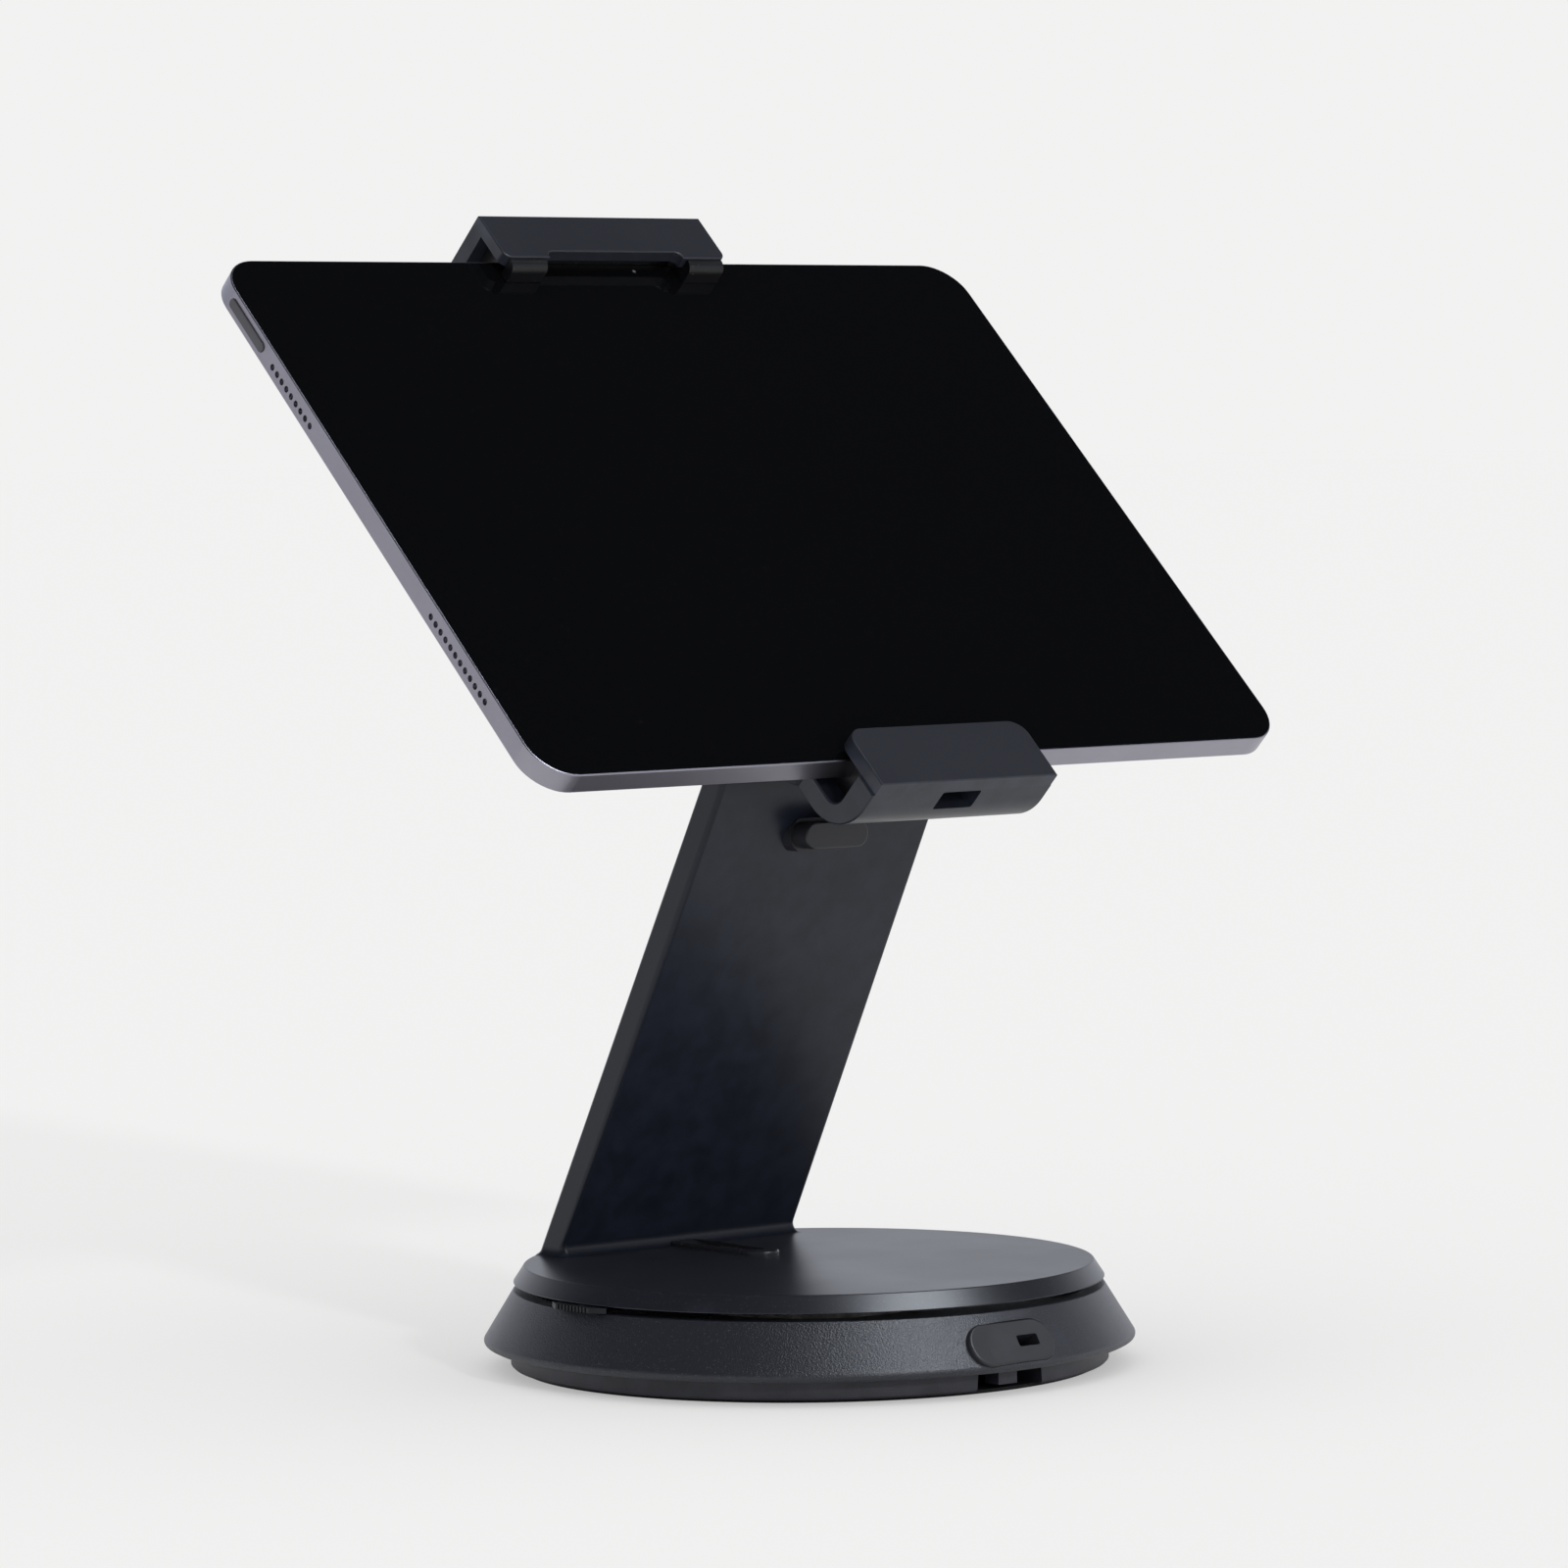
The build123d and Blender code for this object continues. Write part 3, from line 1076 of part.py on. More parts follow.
def head_window(growth):
    """The plug window through the lower jaw, in the head's frame."""
    width = WINDOW_W + 2 * growth
    depth = WINDOW_DEPTH + 2 * growth
    outline = Plane.XZ * RectangleRounded(width, depth, WINDOW_ROUND)
    middle = WINDOW_FRONT_Z - WINDOW_DEPTH / 2
    run = JAW_SPAN_Y + LOWER_BOTTOM_THICK + OVERRUN
    return Pos(0, 0, middle) * extrude(outline, run)


def lower_jaw():
    inner_y = -JAW_SPAN_Y
    outer_y = inner_y - LOWER_BOTTOM_THICK
    jaw = side_prism(
        [
            (outer_y, LOWER_CAP_BACK_Z),
            (outer_y, LOWER_BACK_Z),
            (LOWER_WALL_TOP_Y, LOWER_BACK_Z),
            (LOWER_WALL_TOP_Y, LOWER_WALL_FRONT_Z),
            (inner_y, LOWER_WALL_FRONT_Z),
            (inner_y, LOWER_CAP_BACK_Z),
        ],
        LOWER_HALF_W,
    )
    across = jaw.edges().filter_by(Axis.X)
    outer = across.sort_by_distance((0, outer_y, LOWER_BACK_Z))[0]
    jaw = fillet(outer, LOWER_OUTER_ROUND)
    inner = jaw.edges().filter_by(Axis.X).sort_by_distance((0, inner_y, LOWER_WALL_FRONT_Z))[0]
    jaw = fillet(inner, LOWER_INNER_ROUND)
    ends = jaw.faces().filter_by(Axis.X).edges()
    jaw = chamfer(ends, JAW_EDGE)
    jaw += block(
        (-TONGUE_HALF_W, TONGUE_HALF_W),
        (LOWER_WALL_TOP_Y - LOWER_INNER_ROUND, LOWER_TONGUE_TOP_Y),
        (TONGUE_BACK_Z, TONGUE_FRONT_Z),
    )
    jaw -= head_window(0)
    for x in (-JAW_SCREW_X, JAW_SCREW_X):
        jaw -= Pos(x, JAW_SCREW_Y, TONGUE_BACK_Z) * Cylinder(JAW_SCREW_R + SEAT_GAP, 4 * OVERRUN)
    return HEAD * jaw


def lower_jaw_cap():
    low_y = -JAW_SPAN_Y - LOWER_BOTTOM_THICK
    cap = block(
        (LOWER_CAP_INSET - LOWER_HALF_W, LOWER_HALF_W - LOWER_CAP_INSET),
        (low_y, LOWER_CAP_TOP_Y),
        (LOWER_CAP_BACK_Z, CAP_FRONT_Z),
    )
    top_corners = cap.edges().filter_by(Axis.Z).group_by(Axis.Y)[-1]
    cap = fillet(top_corners, LOWER_CAP_ROUND)
    front = cap.faces().sort_by(Axis.Z)[-1].edges()
    cap = fillet(front, JAW_EDGE)
    return HEAD * cap


def lower_jaw_liner():
    """The rubber channel that carries the tablet's lower edge."""
    inner_y = -JAW_SPAN_Y + LINER_GAP
    back_z = LOWER_WALL_FRONT_Z + LINER_GAP
    half_t = TABLET_T / 2
    liner = side_prism(
        [
            (inner_y, back_z),
            (LOWER_CAP_TOP_Y - LINER_GAP, back_z),
            (LOWER_CAP_TOP_Y - LINER_GAP, -half_t),
            (-TABLET_H / 2, -half_t),
            (-TABLET_H / 2, half_t),
            (LOWER_CAP_TOP_Y - LINER_GAP, half_t),
            (LOWER_CAP_TOP_Y - LINER_GAP, LOWER_CAP_BACK_Z - LINER_GAP),
            (inner_y, LOWER_CAP_BACK_Z - LINER_GAP),
        ],
        LOWER_HALF_W - LOWER_LINER_INSET,
    )
    corner = liner.edges().filter_by(Axis.X).sort_by_distance((0, inner_y, back_z))[0]
    liner = fillet(corner, LOWER_INNER_ROUND)
    liner -= head_window(LINER_GAP)
    return HEAD * liner


def jaw_screws():
    screw = pan_head_screw(JAW_SCREW_R, JAW_SCREW_HEAD_R, JAW_SCREW_LENGTH, JAW_SCREW_HEAD_H)
    return [HEAD * Pos(x, JAW_SCREW_Y, TRAY_BACK_Z) * screw for x in (-JAW_SCREW_X, JAW_SCREW_X)]


# Upper jaw


def rack_gaps():
    """Tooth gaps along one side of the jaw's slot, one of them facing each bolt tooth."""
    gaps = []
    mouth = RACK_MOUTH / 2
    root = RACK_ROOT / 2
    slot_x = SLOT_HALF_W - SEAT_GAP
    root_x = SLOT_HALF_W + RACK_DEPTH
    corners = [(slot_x, -mouth), (root_x, -root), (root_x, root), (slot_x, mouth)]
    outline = make_face(Polyline(*corners, close=True))
    tooth = Pos(0, 0, TONGUE_BACK_Z - OVERRUN) * extrude(outline, TONGUE_THICK + 2 * OVERRUN)
    first_y = LOCK_Y + RACK_PITCH / 2
    low_count = int((first_y - SLOT_LOW_Y - RACK_PITCH) / RACK_PITCH)
    high_count = int((SLOT_HIGH_Y - first_y - RACK_PITCH / 2) / RACK_PITCH)
    for index in range(-low_count, high_count + 1):
        gaps.append(Pos(0, first_y + RACK_PITCH * index, 0) * tooth)
    return gaps


def upper_jaw():
    inner_y = JAW_SPAN_Y
    outer_y = inner_y + UPPER_LEG_THICK
    leg = block((-UPPER_HALF_W, UPPER_HALF_W), (inner_y, outer_y), (TONGUE_BACK_Z, UPPER_CAP_BACK_Z))
    leg += block(
        (-UPPER_HALF_W, UPPER_HALF_W),
        (TABLET_H / 2 + SLIDE_GAP, outer_y),
        (TONGUE_BACK_Z, TONGUE_FRONT_Z),
    )
    back = leg.edges().filter_by(Axis.X).sort_by_distance((0, outer_y, TONGUE_BACK_Z))[0]
    leg = fillet(back, UPPER_BACK_ROUND)
    tongue = block(
        (-TONGUE_HALF_W, TONGUE_HALF_W),
        (TONGUE_LOW_Y, inner_y),
        (TONGUE_BACK_Z, TONGUE_FRONT_Z),
    )
    corners = tongue.edges().filter_by(Axis.Z).group_by(Axis.Y)[0]
    tongue = fillet(corners, TONGUE_ROUND)
    jaw = leg + tongue
    jaw -= block(
        (-SLOT_HALF_W, SLOT_HALF_W),
        (SLOT_LOW_Y, SLOT_HIGH_Y),
        (TONGUE_BACK_Z - OVERRUN, TONGUE_FRONT_Z + OVERRUN),
    )
    for gap in rack_gaps():
        jaw -= gap
    return HEAD * jaw


def upper_notch(growth, low_z, high_z):
    """The camera notch between the upper jaw's two feet, in the head's frame."""
    low_y = TABLET_H / 2 - 2 * OVERRUN
    top_y = UPPER_CAP_LOW_Y + UPPER_NOTCH_H + growth
    half_w = UPPER_NOTCH_HALF_W + growth
    notch = block((-half_w, half_w), (low_y, top_y), (low_z - OVERRUN, high_z + OVERRUN))
    corners = notch.edges().filter_by(Axis.Z).group_by(Axis.Y)[-1]
    return fillet(corners, UPPER_NOTCH_R)


def upper_jaw_cap():
    cap = block(
        (-UPPER_HALF_W, UPPER_HALF_W),
        (UPPER_CAP_LOW_Y, JAW_SPAN_Y + UPPER_LEG_THICK),
        (UPPER_CAP_BACK_Z, CAP_FRONT_Z),
    )
    low_corners = cap.edges().filter_by(Axis.Z).group_by(Axis.Y)[0]
    cap = fillet(low_corners, UPPER_CAP_LOW_ROUND)
    cap -= upper_notch(0, UPPER_CAP_BACK_Z, CAP_FRONT_Z)
    front = cap.faces().sort_by(Axis.Z)[-1].edges()
    cap = fillet(front, JAW_EDGE)
    return HEAD * cap


def liner_foot():
    """One rounded foot of the liner, which shows below the cap beside the notch."""
    top_y = UPPER_CAP_LOW_Y - LINER_GAP
    low_y = UPPER_CAP_LOW_Y - LINER_FOOT_DROP
    back_z = TABLET_T / 2 + LINER_GAP
    foot = block(
        (UPPER_NOTCH_HALF_W + LINER_FOOT_GAP, UPPER_HALF_W - LINER_FOOT_GAP),
        (low_y, top_y),
        (back_z, LINER_FOOT_FRONT_Z),
    )
    front = foot.edges().filter_by(Axis.X).sort_by_distance((UPPER_HALF_W, low_y, LINER_FOOT_FRONT_Z))[0]
    return fillet(front, LINER_FOOT_ROUND)


def upper_jaw_liner():
    """The rubber liner over the tablet's upper edge, with a foot under each end of the cap."""
    half_t = TABLET_T / 2 + LINER_GAP
    top_y = JAW_SPAN_Y - LINER_GAP
    low_y = UPPER_CAP_LOW_Y - LINER_GAP
    back_z = TONGUE_FRONT_Z + SLIDE_GAP
    front_z = UPPER_CAP_BACK_Z - LINER_GAP
    liner = side_prism(
        [
            (TABLET_H / 2, -half_t),
            (TABLET_H / 2, half_t),
            (low_y, half_t),
            (low_y, front_z),
            (top_y, front_z),
            (top_y, back_z),
            (TABLET_H / 2, back_z),
        ],
        UPPER_HALF_W - UPPER_LINER_INSET,
    )
    liner -= upper_notch(LINER_FOOT_GAP, half_t, front_z)
    return HEAD * (liner + liner_foot() + mirror(liner_foot(), Plane.YZ))


# Key lock


def lock_cylinder():
    body = ring(LOCK_CYLINDER_R, 0, LOCK_CYLINDER_BACK_Z, TRAY_FLOOR_Z)
    face = body.faces().sort_by(Axis.Z)[0]
    body = chamfer(face.edges(), JAW_EDGE)
    keyway_z = (LOCK_CYLINDER_BACK_Z - OVERRUN, LOCK_CYLINDER_BACK_Z + KEYHOLE_DEPTH)
    body -= ring(KEYHOLE_R, KEYHOLE_CORE_R, *keyway_z)
    pin_top_z = TRAY_FLOOR_Z + BOLT_THICK - SLIDE_GAP
    body += Pos(0, LOCK_THROW, 0) * ring(LOCK_PIN_R, 0, TRAY_FLOOR_Z, pin_top_z)
    return HEAD * Pos(0, LOCK_Y, 0) * body


def lock_bolt():
    """The sliding bolt whose two teeth enter the rack when the key turns."""
    tip_x = SLOT_HALF_W - BOLT_REST_GAP
    tooth_l = LOCK_THROW
    base_x = tip_x - tooth_l
    mouth = RACK_MOUTH / 2 - BOLT_TOOTH_GAP
    root = RACK_ROOT / 2 - BOLT_TOOTH_GAP / 2
    low_z = TRAY_FLOOR_Z + SLIDE_GAP / 2
    thick = BOLT_THICK - SLIDE_GAP
    body = block((BOLT_BACK_X, base_x), (-BOLT_HALF_H, BOLT_HALF_H), (low_z, low_z + thick))
    corners = [(base_x, -mouth), (tip_x, -root), (tip_x, root), (base_x, mouth)]
    tooth = make_face(Polyline(*corners, close=True))
    for y in (-RACK_PITCH / 2, RACK_PITCH / 2):
        body += Pos(0, y, low_z) * extrude(tooth, thick)
    play = LOCK_PIN_R + LOCK_PIN_PLAY
    slot = block((-play, play), (-play, LOCK_THROW + play), (low_z - OVERRUN, low_z + thick + OVERRUN))
    return HEAD * Pos(0, LOCK_Y, 0) * (body - slot)


# Tablet


def speaker_rows():
    """Heights along the short edge of every speaker hole."""
    heights = []
    upper_y = TABLET_H / 2 - UPPER_SPEAKER_DROP
    lower_y = LOWER_SPEAKER_RISE - TABLET_H / 2
    for count, middle in ((UPPER_SPEAKER_COUNT, upper_y), (LOWER_SPEAKER_COUNT, lower_y)):
        for index in range(count):
            heights.append(middle + SPEAKER_PITCH * (index - (count - 1) / 2))
    return heights


def edge_pill(length, width, depth):
    """A pill lying on a face, its depth along +Z and its length along Y."""
    return Rot(0, 0, 90) * stadium(length, width, 0, depth)


def power_place(height):
    """A place on the left short edge, local +Z pointing out of the tablet."""
    plane = Plane(origin=(-TABLET_W / 2, POWER_BUTTON_Y, 0), x_dir=(0, 0, 1), z_dir=(-1, 0, 0))
    return plane * Pos(0, 0, height)


def volume_place(x, height):
    """A place on the upper long edge, local +Z pointing out of the tablet."""
    plane = Plane(origin=(x, TABLET_H / 2, 0), x_dir=(0, 0, 1), z_dir=(0, 1, 0))
    return plane * Pos(0, 0, height)


def tablet_housing():
    half_t = TABLET_T / 2
    slate = rounded_plate(TABLET_W / 2, TABLET_H / 2, TABLET_CORNER_R, -half_t, half_t)
    faces = slate.faces().sort_by(Axis.Z)
    slate = fillet(faces[0].edges() + faces[-1].edges(), TABLET_EDGE)
    slate -= rounded_plate(
        TABLET_W / 2 - GLASS_INSET,
        TABLET_H / 2 - GLASS_INSET,
        TABLET_CORNER_R - GLASS_INSET,
        half_t - GLASS_THICK,
        half_t + OVERRUN,
    )
    slate -= rounded_plate(
        TABLET_W / 2 - TABLET_WALL,
        TABLET_H / 2 - TABLET_WALL,
        TABLET_CORNER_R - TABLET_WALL,
        TABLET_BACK_INNER_Z,
        half_t,
    )
    hole = Cylinder(SPEAKER_HOLE_R, 2 * SPEAKER_DEPTH)
    for side in (-1, 1):
        for y in speaker_rows():
            slate -= Pos(side * TABLET_W / 2, y, SPEAKER_Z) * Rot(0, 90, 0) * hole
    well = edge_pill(POWER_BUTTON_L + 2 * BUTTON_GAP, BUTTON_W + 2 * BUTTON_GAP, OVERRUN)
    slate -= power_place(-BUTTON_WELL) * well
    well = edge_pill(VOLUME_BUTTON_L + 2 * BUTTON_GAP, BUTTON_W + 2 * BUTTON_GAP, OVERRUN)
    for x in (VOLUME_UP_X, VOLUME_DOWN_X):
        slate -= volume_place(x, -BUTTON_WELL) * well
    port = Plane(origin=(TABLET_W / 2, 0, 0), x_dir=(0, 0, 1), z_dir=(1, 0, 0))
    slate -= port * Pos(0, 0, -PORT_DEPTH) * edge_pill(PORT_L, PORT_W, OVERRUN)
    return HEAD * slate


def tablet_glass():
    half_t = TABLET_T / 2
    glass = rounded_plate(
        TABLET_W / 2 - GLASS_INSET - SEAT_GAP,
        TABLET_H / 2 - GLASS_INSET - SEAT_GAP,
        TABLET_CORNER_R - GLASS_INSET,
        half_t - GLASS_THICK,
        half_t,
    )
    return HEAD * glass


def tablet_display():
    return HEAD * rounded_plate(
        TABLET_W / 2 - 2 * TABLET_WALL,
        TABLET_H / 2 - 2 * TABLET_WALL,
        TABLET_CORNER_R - 2 * TABLET_WALL,
        DISPLAY_BACK_Z,
        TABLET_T / 2 - GLASS_THICK,
    )


def tablet_batteries():
    """Two cells side by side on the back, as tall as the clear room allows."""
    half_h = BATTERY_H / 2
    cell_z = (TABLET_BACK_INNER_Z, DISPLAY_BACK_Z - BATTERY_TOP_GAP)
    right = block((BATTERY_SPLIT / 2, BATTERY_SPAN_X), (-half_h, half_h), cell_z)
    return [HEAD * right, HEAD * mirror(right, Plane.YZ)]


def tablet_board():
    half_h = BATTERY_H / 2
    board_x = (-BATTERY_SPAN_X - BOARD_GAP - BOARD_W, -BATTERY_SPAN_X - BOARD_GAP)
    return HEAD * block(board_x, (-half_h, half_h), (TABLET_BACK_INNER_Z, TABLET_BACK_INNER_Z + BOARD_T))


def tablet_camera_ring():
    back_z = -TABLET_T / 2
    body = ring(CAMERA_R, CAMERA_LENS_R, back_z - CAMERA_RISE, back_z)
    return HEAD * Pos(CAMERA_X, CAMERA_Y, 0) * body


def tablet_camera_lens():
    back_z = -TABLET_T / 2
    body = ring(CAMERA_LENS_R - SEAT_GAP, 0, back_z - CAMERA_RISE + CAMERA_LENS_DEPTH, back_z)
    return HEAD * Pos(CAMERA_X, CAMERA_Y, 0) * body


def edge_button(length):
    button = edge_pill(length, BUTTON_W, BUTTON_THICK)
    top = button.faces().sort_by(Axis.Z)[-1]
    return fillet(top.edges(), BUTTON_GAP)


def power_button():
    return HEAD * power_place(BUTTON_PROUD - BUTTON_THICK) * edge_button(POWER_BUTTON_L)


def volume_button(x):
    return HEAD * volume_place(x, BUTTON_PROUD - BUTTON_THICK) * edge_button(VOLUME_BUTTON_L)


def all_nodes():
    return {
        "base_pan": base_pan(),
        "foot_mat": foot_mat(),
        "pan_screws": pan_screws(),
        "ballast_plate": ballast_plate(),
        "base_skirt": base_skirt(),
        "security_plug": security_plug(),
        "slip_ring": slip_ring(),
        "rotation_lock_tab": rotation_lock_tab(),
        "brake_shoe": brake_shoe(),
        "swivel_hub": swivel_hub(),
        "hub_screws": hub_screws(),
        "swivel_retainer": swivel_retainer(),
        "turntable_plate": turntable_plate(),
        "cable_grommet": cable_grommet(),
        "foot_screws": foot_screws(),
        "arm_shell": arm_shell(),
        "arm_back_cover": arm_back_cover(),
        "cable_peg": cable_peg(),
        "head_bush": head_bush(),
        "head_stop_pin": head_stop_pin(),
        "hub_cap": hub_cap(),
        "head_spindle": head_spindle(),
        "spindle_screws": spindle_screws(),
        "spring_washer": spring_washer(),
        "hub_nut": hub_nut(),
        "head_tray": head_tray(),
        "head_front_plate": head_front_plate(),
        "plate_screws": plate_screws(),
        "tablet_pads": tablet_pads(),
        "lower_jaw": lower_jaw(),
        "lower_jaw_cap": lower_jaw_cap(),
        "lower_jaw_liner": lower_jaw_liner(),
        "jaw_screws": jaw_screws(),
        "upper_jaw": upper_jaw(),
        "upper_jaw_cap": upper_jaw_cap(),
        "upper_jaw_liner": upper_jaw_liner(),
        "lock_cylinder": lock_cylinder(),
        "lock_bolt": lock_bolt(),
        "tablet_housing": tablet_housing(),
        "tablet_glass": tablet_glass(),
        "tablet_display": tablet_display(),
        "tablet_batteries": tablet_batteries(),
        "tablet_board": tablet_board(),
        "tablet_camera_ring": tablet_camera_ring(),
        "tablet_camera_lens": tablet_camera_lens(),
        "tablet_power_button": power_button(),
        "tablet_volume_up": volume_button(VOLUME_UP_X),
        "tablet_volume_down": volume_button(VOLUME_DOWN_X),
    }


if __name__ == "__main__":
    os.makedirs("parts", exist_ok=True)
    for name, shape in all_nodes().items():
        solids = shape if isinstance(shape, list) else [shape]
        pieces = [solid for item in solids for solid in item.solids()]
        export_step(Compound(pieces), "parts/" + name + ".step")
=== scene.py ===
import json
import math

import bmesh
import bpy
from mathutils import Matrix, Vector


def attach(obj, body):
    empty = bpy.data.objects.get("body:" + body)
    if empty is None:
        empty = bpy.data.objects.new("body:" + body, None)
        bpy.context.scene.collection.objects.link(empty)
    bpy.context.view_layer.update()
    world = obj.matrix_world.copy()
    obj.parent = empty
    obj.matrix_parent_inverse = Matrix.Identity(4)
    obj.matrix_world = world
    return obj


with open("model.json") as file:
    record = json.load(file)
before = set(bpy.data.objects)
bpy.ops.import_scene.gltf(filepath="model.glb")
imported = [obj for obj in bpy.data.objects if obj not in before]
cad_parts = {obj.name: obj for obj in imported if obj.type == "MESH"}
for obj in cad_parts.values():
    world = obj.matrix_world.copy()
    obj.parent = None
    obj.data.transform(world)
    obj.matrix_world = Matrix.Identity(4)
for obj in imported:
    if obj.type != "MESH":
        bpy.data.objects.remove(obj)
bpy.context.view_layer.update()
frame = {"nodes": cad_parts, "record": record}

NODES = frame["nodes"]

# The photograph's camera, fitted to the tablet's outline and the base's circles
CAMERA_PLACE = Vector((-1.18596, -1.35429, 0.23996))
CAMERA_AZIMUTH = 41.055
CAMERA_PITCH = 2.937
CAMERA_ROLL = -0.691
FOCAL_PIXELS = 7258.03
IMAGE_PIXELS = 1600.0
SENSOR_MM = 36.0
CAMERA_NEAR = 0.05
CAMERA_FAR = 100.0

# The head's own frame: x along the screen, y up it, z out of it
TILT = math.radians(45.4)
HEAD_CENTRE = Vector((0.0, 0.0169, 0.2164))
HEAD_UP = Vector((0.0, math.sin(TILT), math.cos(TILT)))
HEAD_OUT = Vector((0.0, -math.cos(TILT), math.sin(TILT)))
HEAD = Matrix((
    (1.0, HEAD_UP.x, HEAD_OUT.x, HEAD_CENTRE.x),
    (0.0, HEAD_UP.y, HEAD_OUT.y, HEAD_CENTRE.y),
    (0.0, HEAD_UP.z, HEAD_OUT.z, HEAD_CENTRE.z),
    (0.0, 0.0, 0.0, 1.0),
))
MM = 0.001


# Stage


def photo_camera():
    """The camera that took the photograph, placed and turned as the fit found it."""
    azimuth = math.radians(CAMERA_AZIMUTH)
    pitch = math.radians(CAMERA_PITCH)
    roll = math.radians(CAMERA_ROLL)
    level = Vector((math.sin(azimuth), math.cos(azimuth), 0.0))
    right = Vector((math.cos(azimuth), -math.sin(azimuth), 0.0))
    up = Vector((0.0, 0.0, 1.0))
    ahead = level * math.cos(pitch) - up * math.sin(pitch)
    upright = up * math.cos(pitch) + level * math.sin(pitch)
    right_rolled = right * math.cos(roll) + upright * math.sin(roll)
    up_rolled = upright * math.cos(roll) - right * math.sin(roll)
    turn = Matrix((right_rolled, up_rolled, -ahead)).transposed()
    lens = bpy.data.cameras.new("photo_camera")
    lens.sensor_fit = "HORIZONTAL"
    lens.sensor_width = SENSOR_MM
    lens.lens = FOCAL_PIXELS / IMAGE_PIXELS * SENSOR_MM
    lens.clip_start = CAMERA_NEAR
    lens.clip_end = CAMERA_FAR
    camera = bpy.data.objects.new("photo_camera", lens)
    camera.matrix_world = Matrix.Translation(CAMERA_PLACE) @ turn.to_4x4()
    bpy.context.scene.collection.objects.link(camera)
    bpy.context.scene.camera = camera


# The backdrop that the camera sees, and the studio that gloss mirrors, by height above the horizon
BACKDROP = (0.886, 0.886, 0.882, 1.0)
MIRRORED_WALL = (0.80, 0.83, 0.92, 1.0)
MIRRORED_DARK = (0.018, 0.019, 0.024, 1.0)
MIRRORED_OVERHEAD = (0.16, 0.165, 0.185, 1.0)
MIRRORED_HEIGHTS = ((0.22, MIRRORED_WALL), (0.48, MIRRORED_DARK), (0.88, MIRRORED_DARK))
WALL_BRIGHT_SIDE = (0.95, 0.30, 0.0)
WALL_DIM = 0.45
WALL_BRIGHT = 1.20

# The light on the object, as shares of a floor's written colour; directions point at the light
AMBIENT_SHARE = 0.92
KEY_FROM = Vector((-0.157, -0.914, 0.375))
KEY_SHARE = 0.075
KEY_SOFTNESS = 4.5
SOFTBOX_FROM = Vector((0.18, -0.58, 0.79))
SOFTBOX_SHARE = 0.60
SOFTBOX_TINT = (0.86, 0.92, 1.0)
SOFTBOX_SOFTNESS = 30.0

FLOOR_SIZE = 60.0
FLOOR_GLOW_SHARE = 0.40


def sun(name, towards_light, share, softness):
    """A sun that alone would lift a floor to this share of its written colour."""
    direction = towards_light.normalized()
    lamp = bpy.data.lights.new(name, "SUN")
    lamp.energy = share * math.pi / direction.z
    lamp.angle = math.radians(softness)
    holder = bpy.data.objects.new(name, lamp)
    holder.rotation_euler = direction.to_track_quat("Z", "Y").to_euler()
    bpy.context.scene.collection.objects.link(holder)
    return holder


def studio_world():
    """Pale low down and dark higher up where gloss sees it, even for matt light, plain for the camera."""
    world = bpy.data.worlds.new("studio")
    bpy.context.scene.world = world
    world.use_nodes = True
    nodes = world.node_tree.nodes
    links = world.node_tree.links
    nodes.clear()
    way = nodes.new("ShaderNodeTexCoord")
    parts = nodes.new("ShaderNodeSeparateXYZ")
    links.new(way.outputs["Generated"], parts.inputs[0])
    wall = nodes.new("ShaderNodeValToRGB")
    wall.color_ramp.elements[0].position = 0.0
    wall.color_ramp.elements[0].color = MIRRORED_WALL
    wall.color_ramp.elements[1].position = 1.0
    wall.color_ramp.elements[1].color = MIRRORED_OVERHEAD
    for place, colour in MIRRORED_HEIGHTS:
        wall.color_ramp.elements.new(place).color = colour
    links.new(parts.outputs["Z"], wall.inputs["Fac"])
    path = nodes.new("ShaderNodeLightPath")
    seen = nodes.new("ShaderNodeBackground")
    seen.inputs["Color"].default_value = BACKDROP
    mirrored = nodes.new("ShaderNodeBackground")
    links.new(wall.outputs["Color"], mirrored.inputs["Color"])
    side = nodes.new("ShaderNodeVectorMath")
    side.operation = "DOT_PRODUCT"
    side.inputs[1].default_value = WALL_BRIGHT_SIDE
    links.new(way.outputs["Generated"], side.inputs[0])
    bright = nodes.new("ShaderNodeMapRange")
    bright.inputs["From Min"].default_value = -1.0
    bright.inputs["To Min"].default_value = WALL_DIM
    bright.inputs["To Max"].default_value = WALL_BRIGHT
    links.new(side.outputs["Value"], bright.inputs["Value"])
    links.new(bright.outputs["Result"], mirrored.inputs["Strength"])
    even = nodes.new("ShaderNodeBackground")
    even.inputs["Color"].default_value = (1.0, 1.0, 1.0, 1.0)
    even.inputs["Strength"].default_value = AMBIENT_SHARE
    gloss = nodes.new("ShaderNodeMixShader")
    links.new(path.outputs["Is Glossy Ray"], gloss.inputs[0])
    links.new(even.outputs[0], gloss.inputs[1])
    links.new(mirrored.outputs[0], gloss.inputs[2])
    direct = nodes.new("ShaderNodeMath")
    direct.operation = "MAXIMUM"
    links.new(path.outputs["Is Camera Ray"], direct.inputs[0])
    links.new(path.outputs["Is Transmission Ray"], direct.inputs[1])
    final = nodes.new("ShaderNodeMixShader")
    links.new(direct.outputs[0], final.inputs[0])
    links.new(gloss.outputs[0], final.inputs[1])
    links.new(seen.outputs[0], final.inputs[2])
    out = nodes.new("ShaderNodeOutputWorld")
    links.new(final.outputs[0], out.inputs["Surface"])


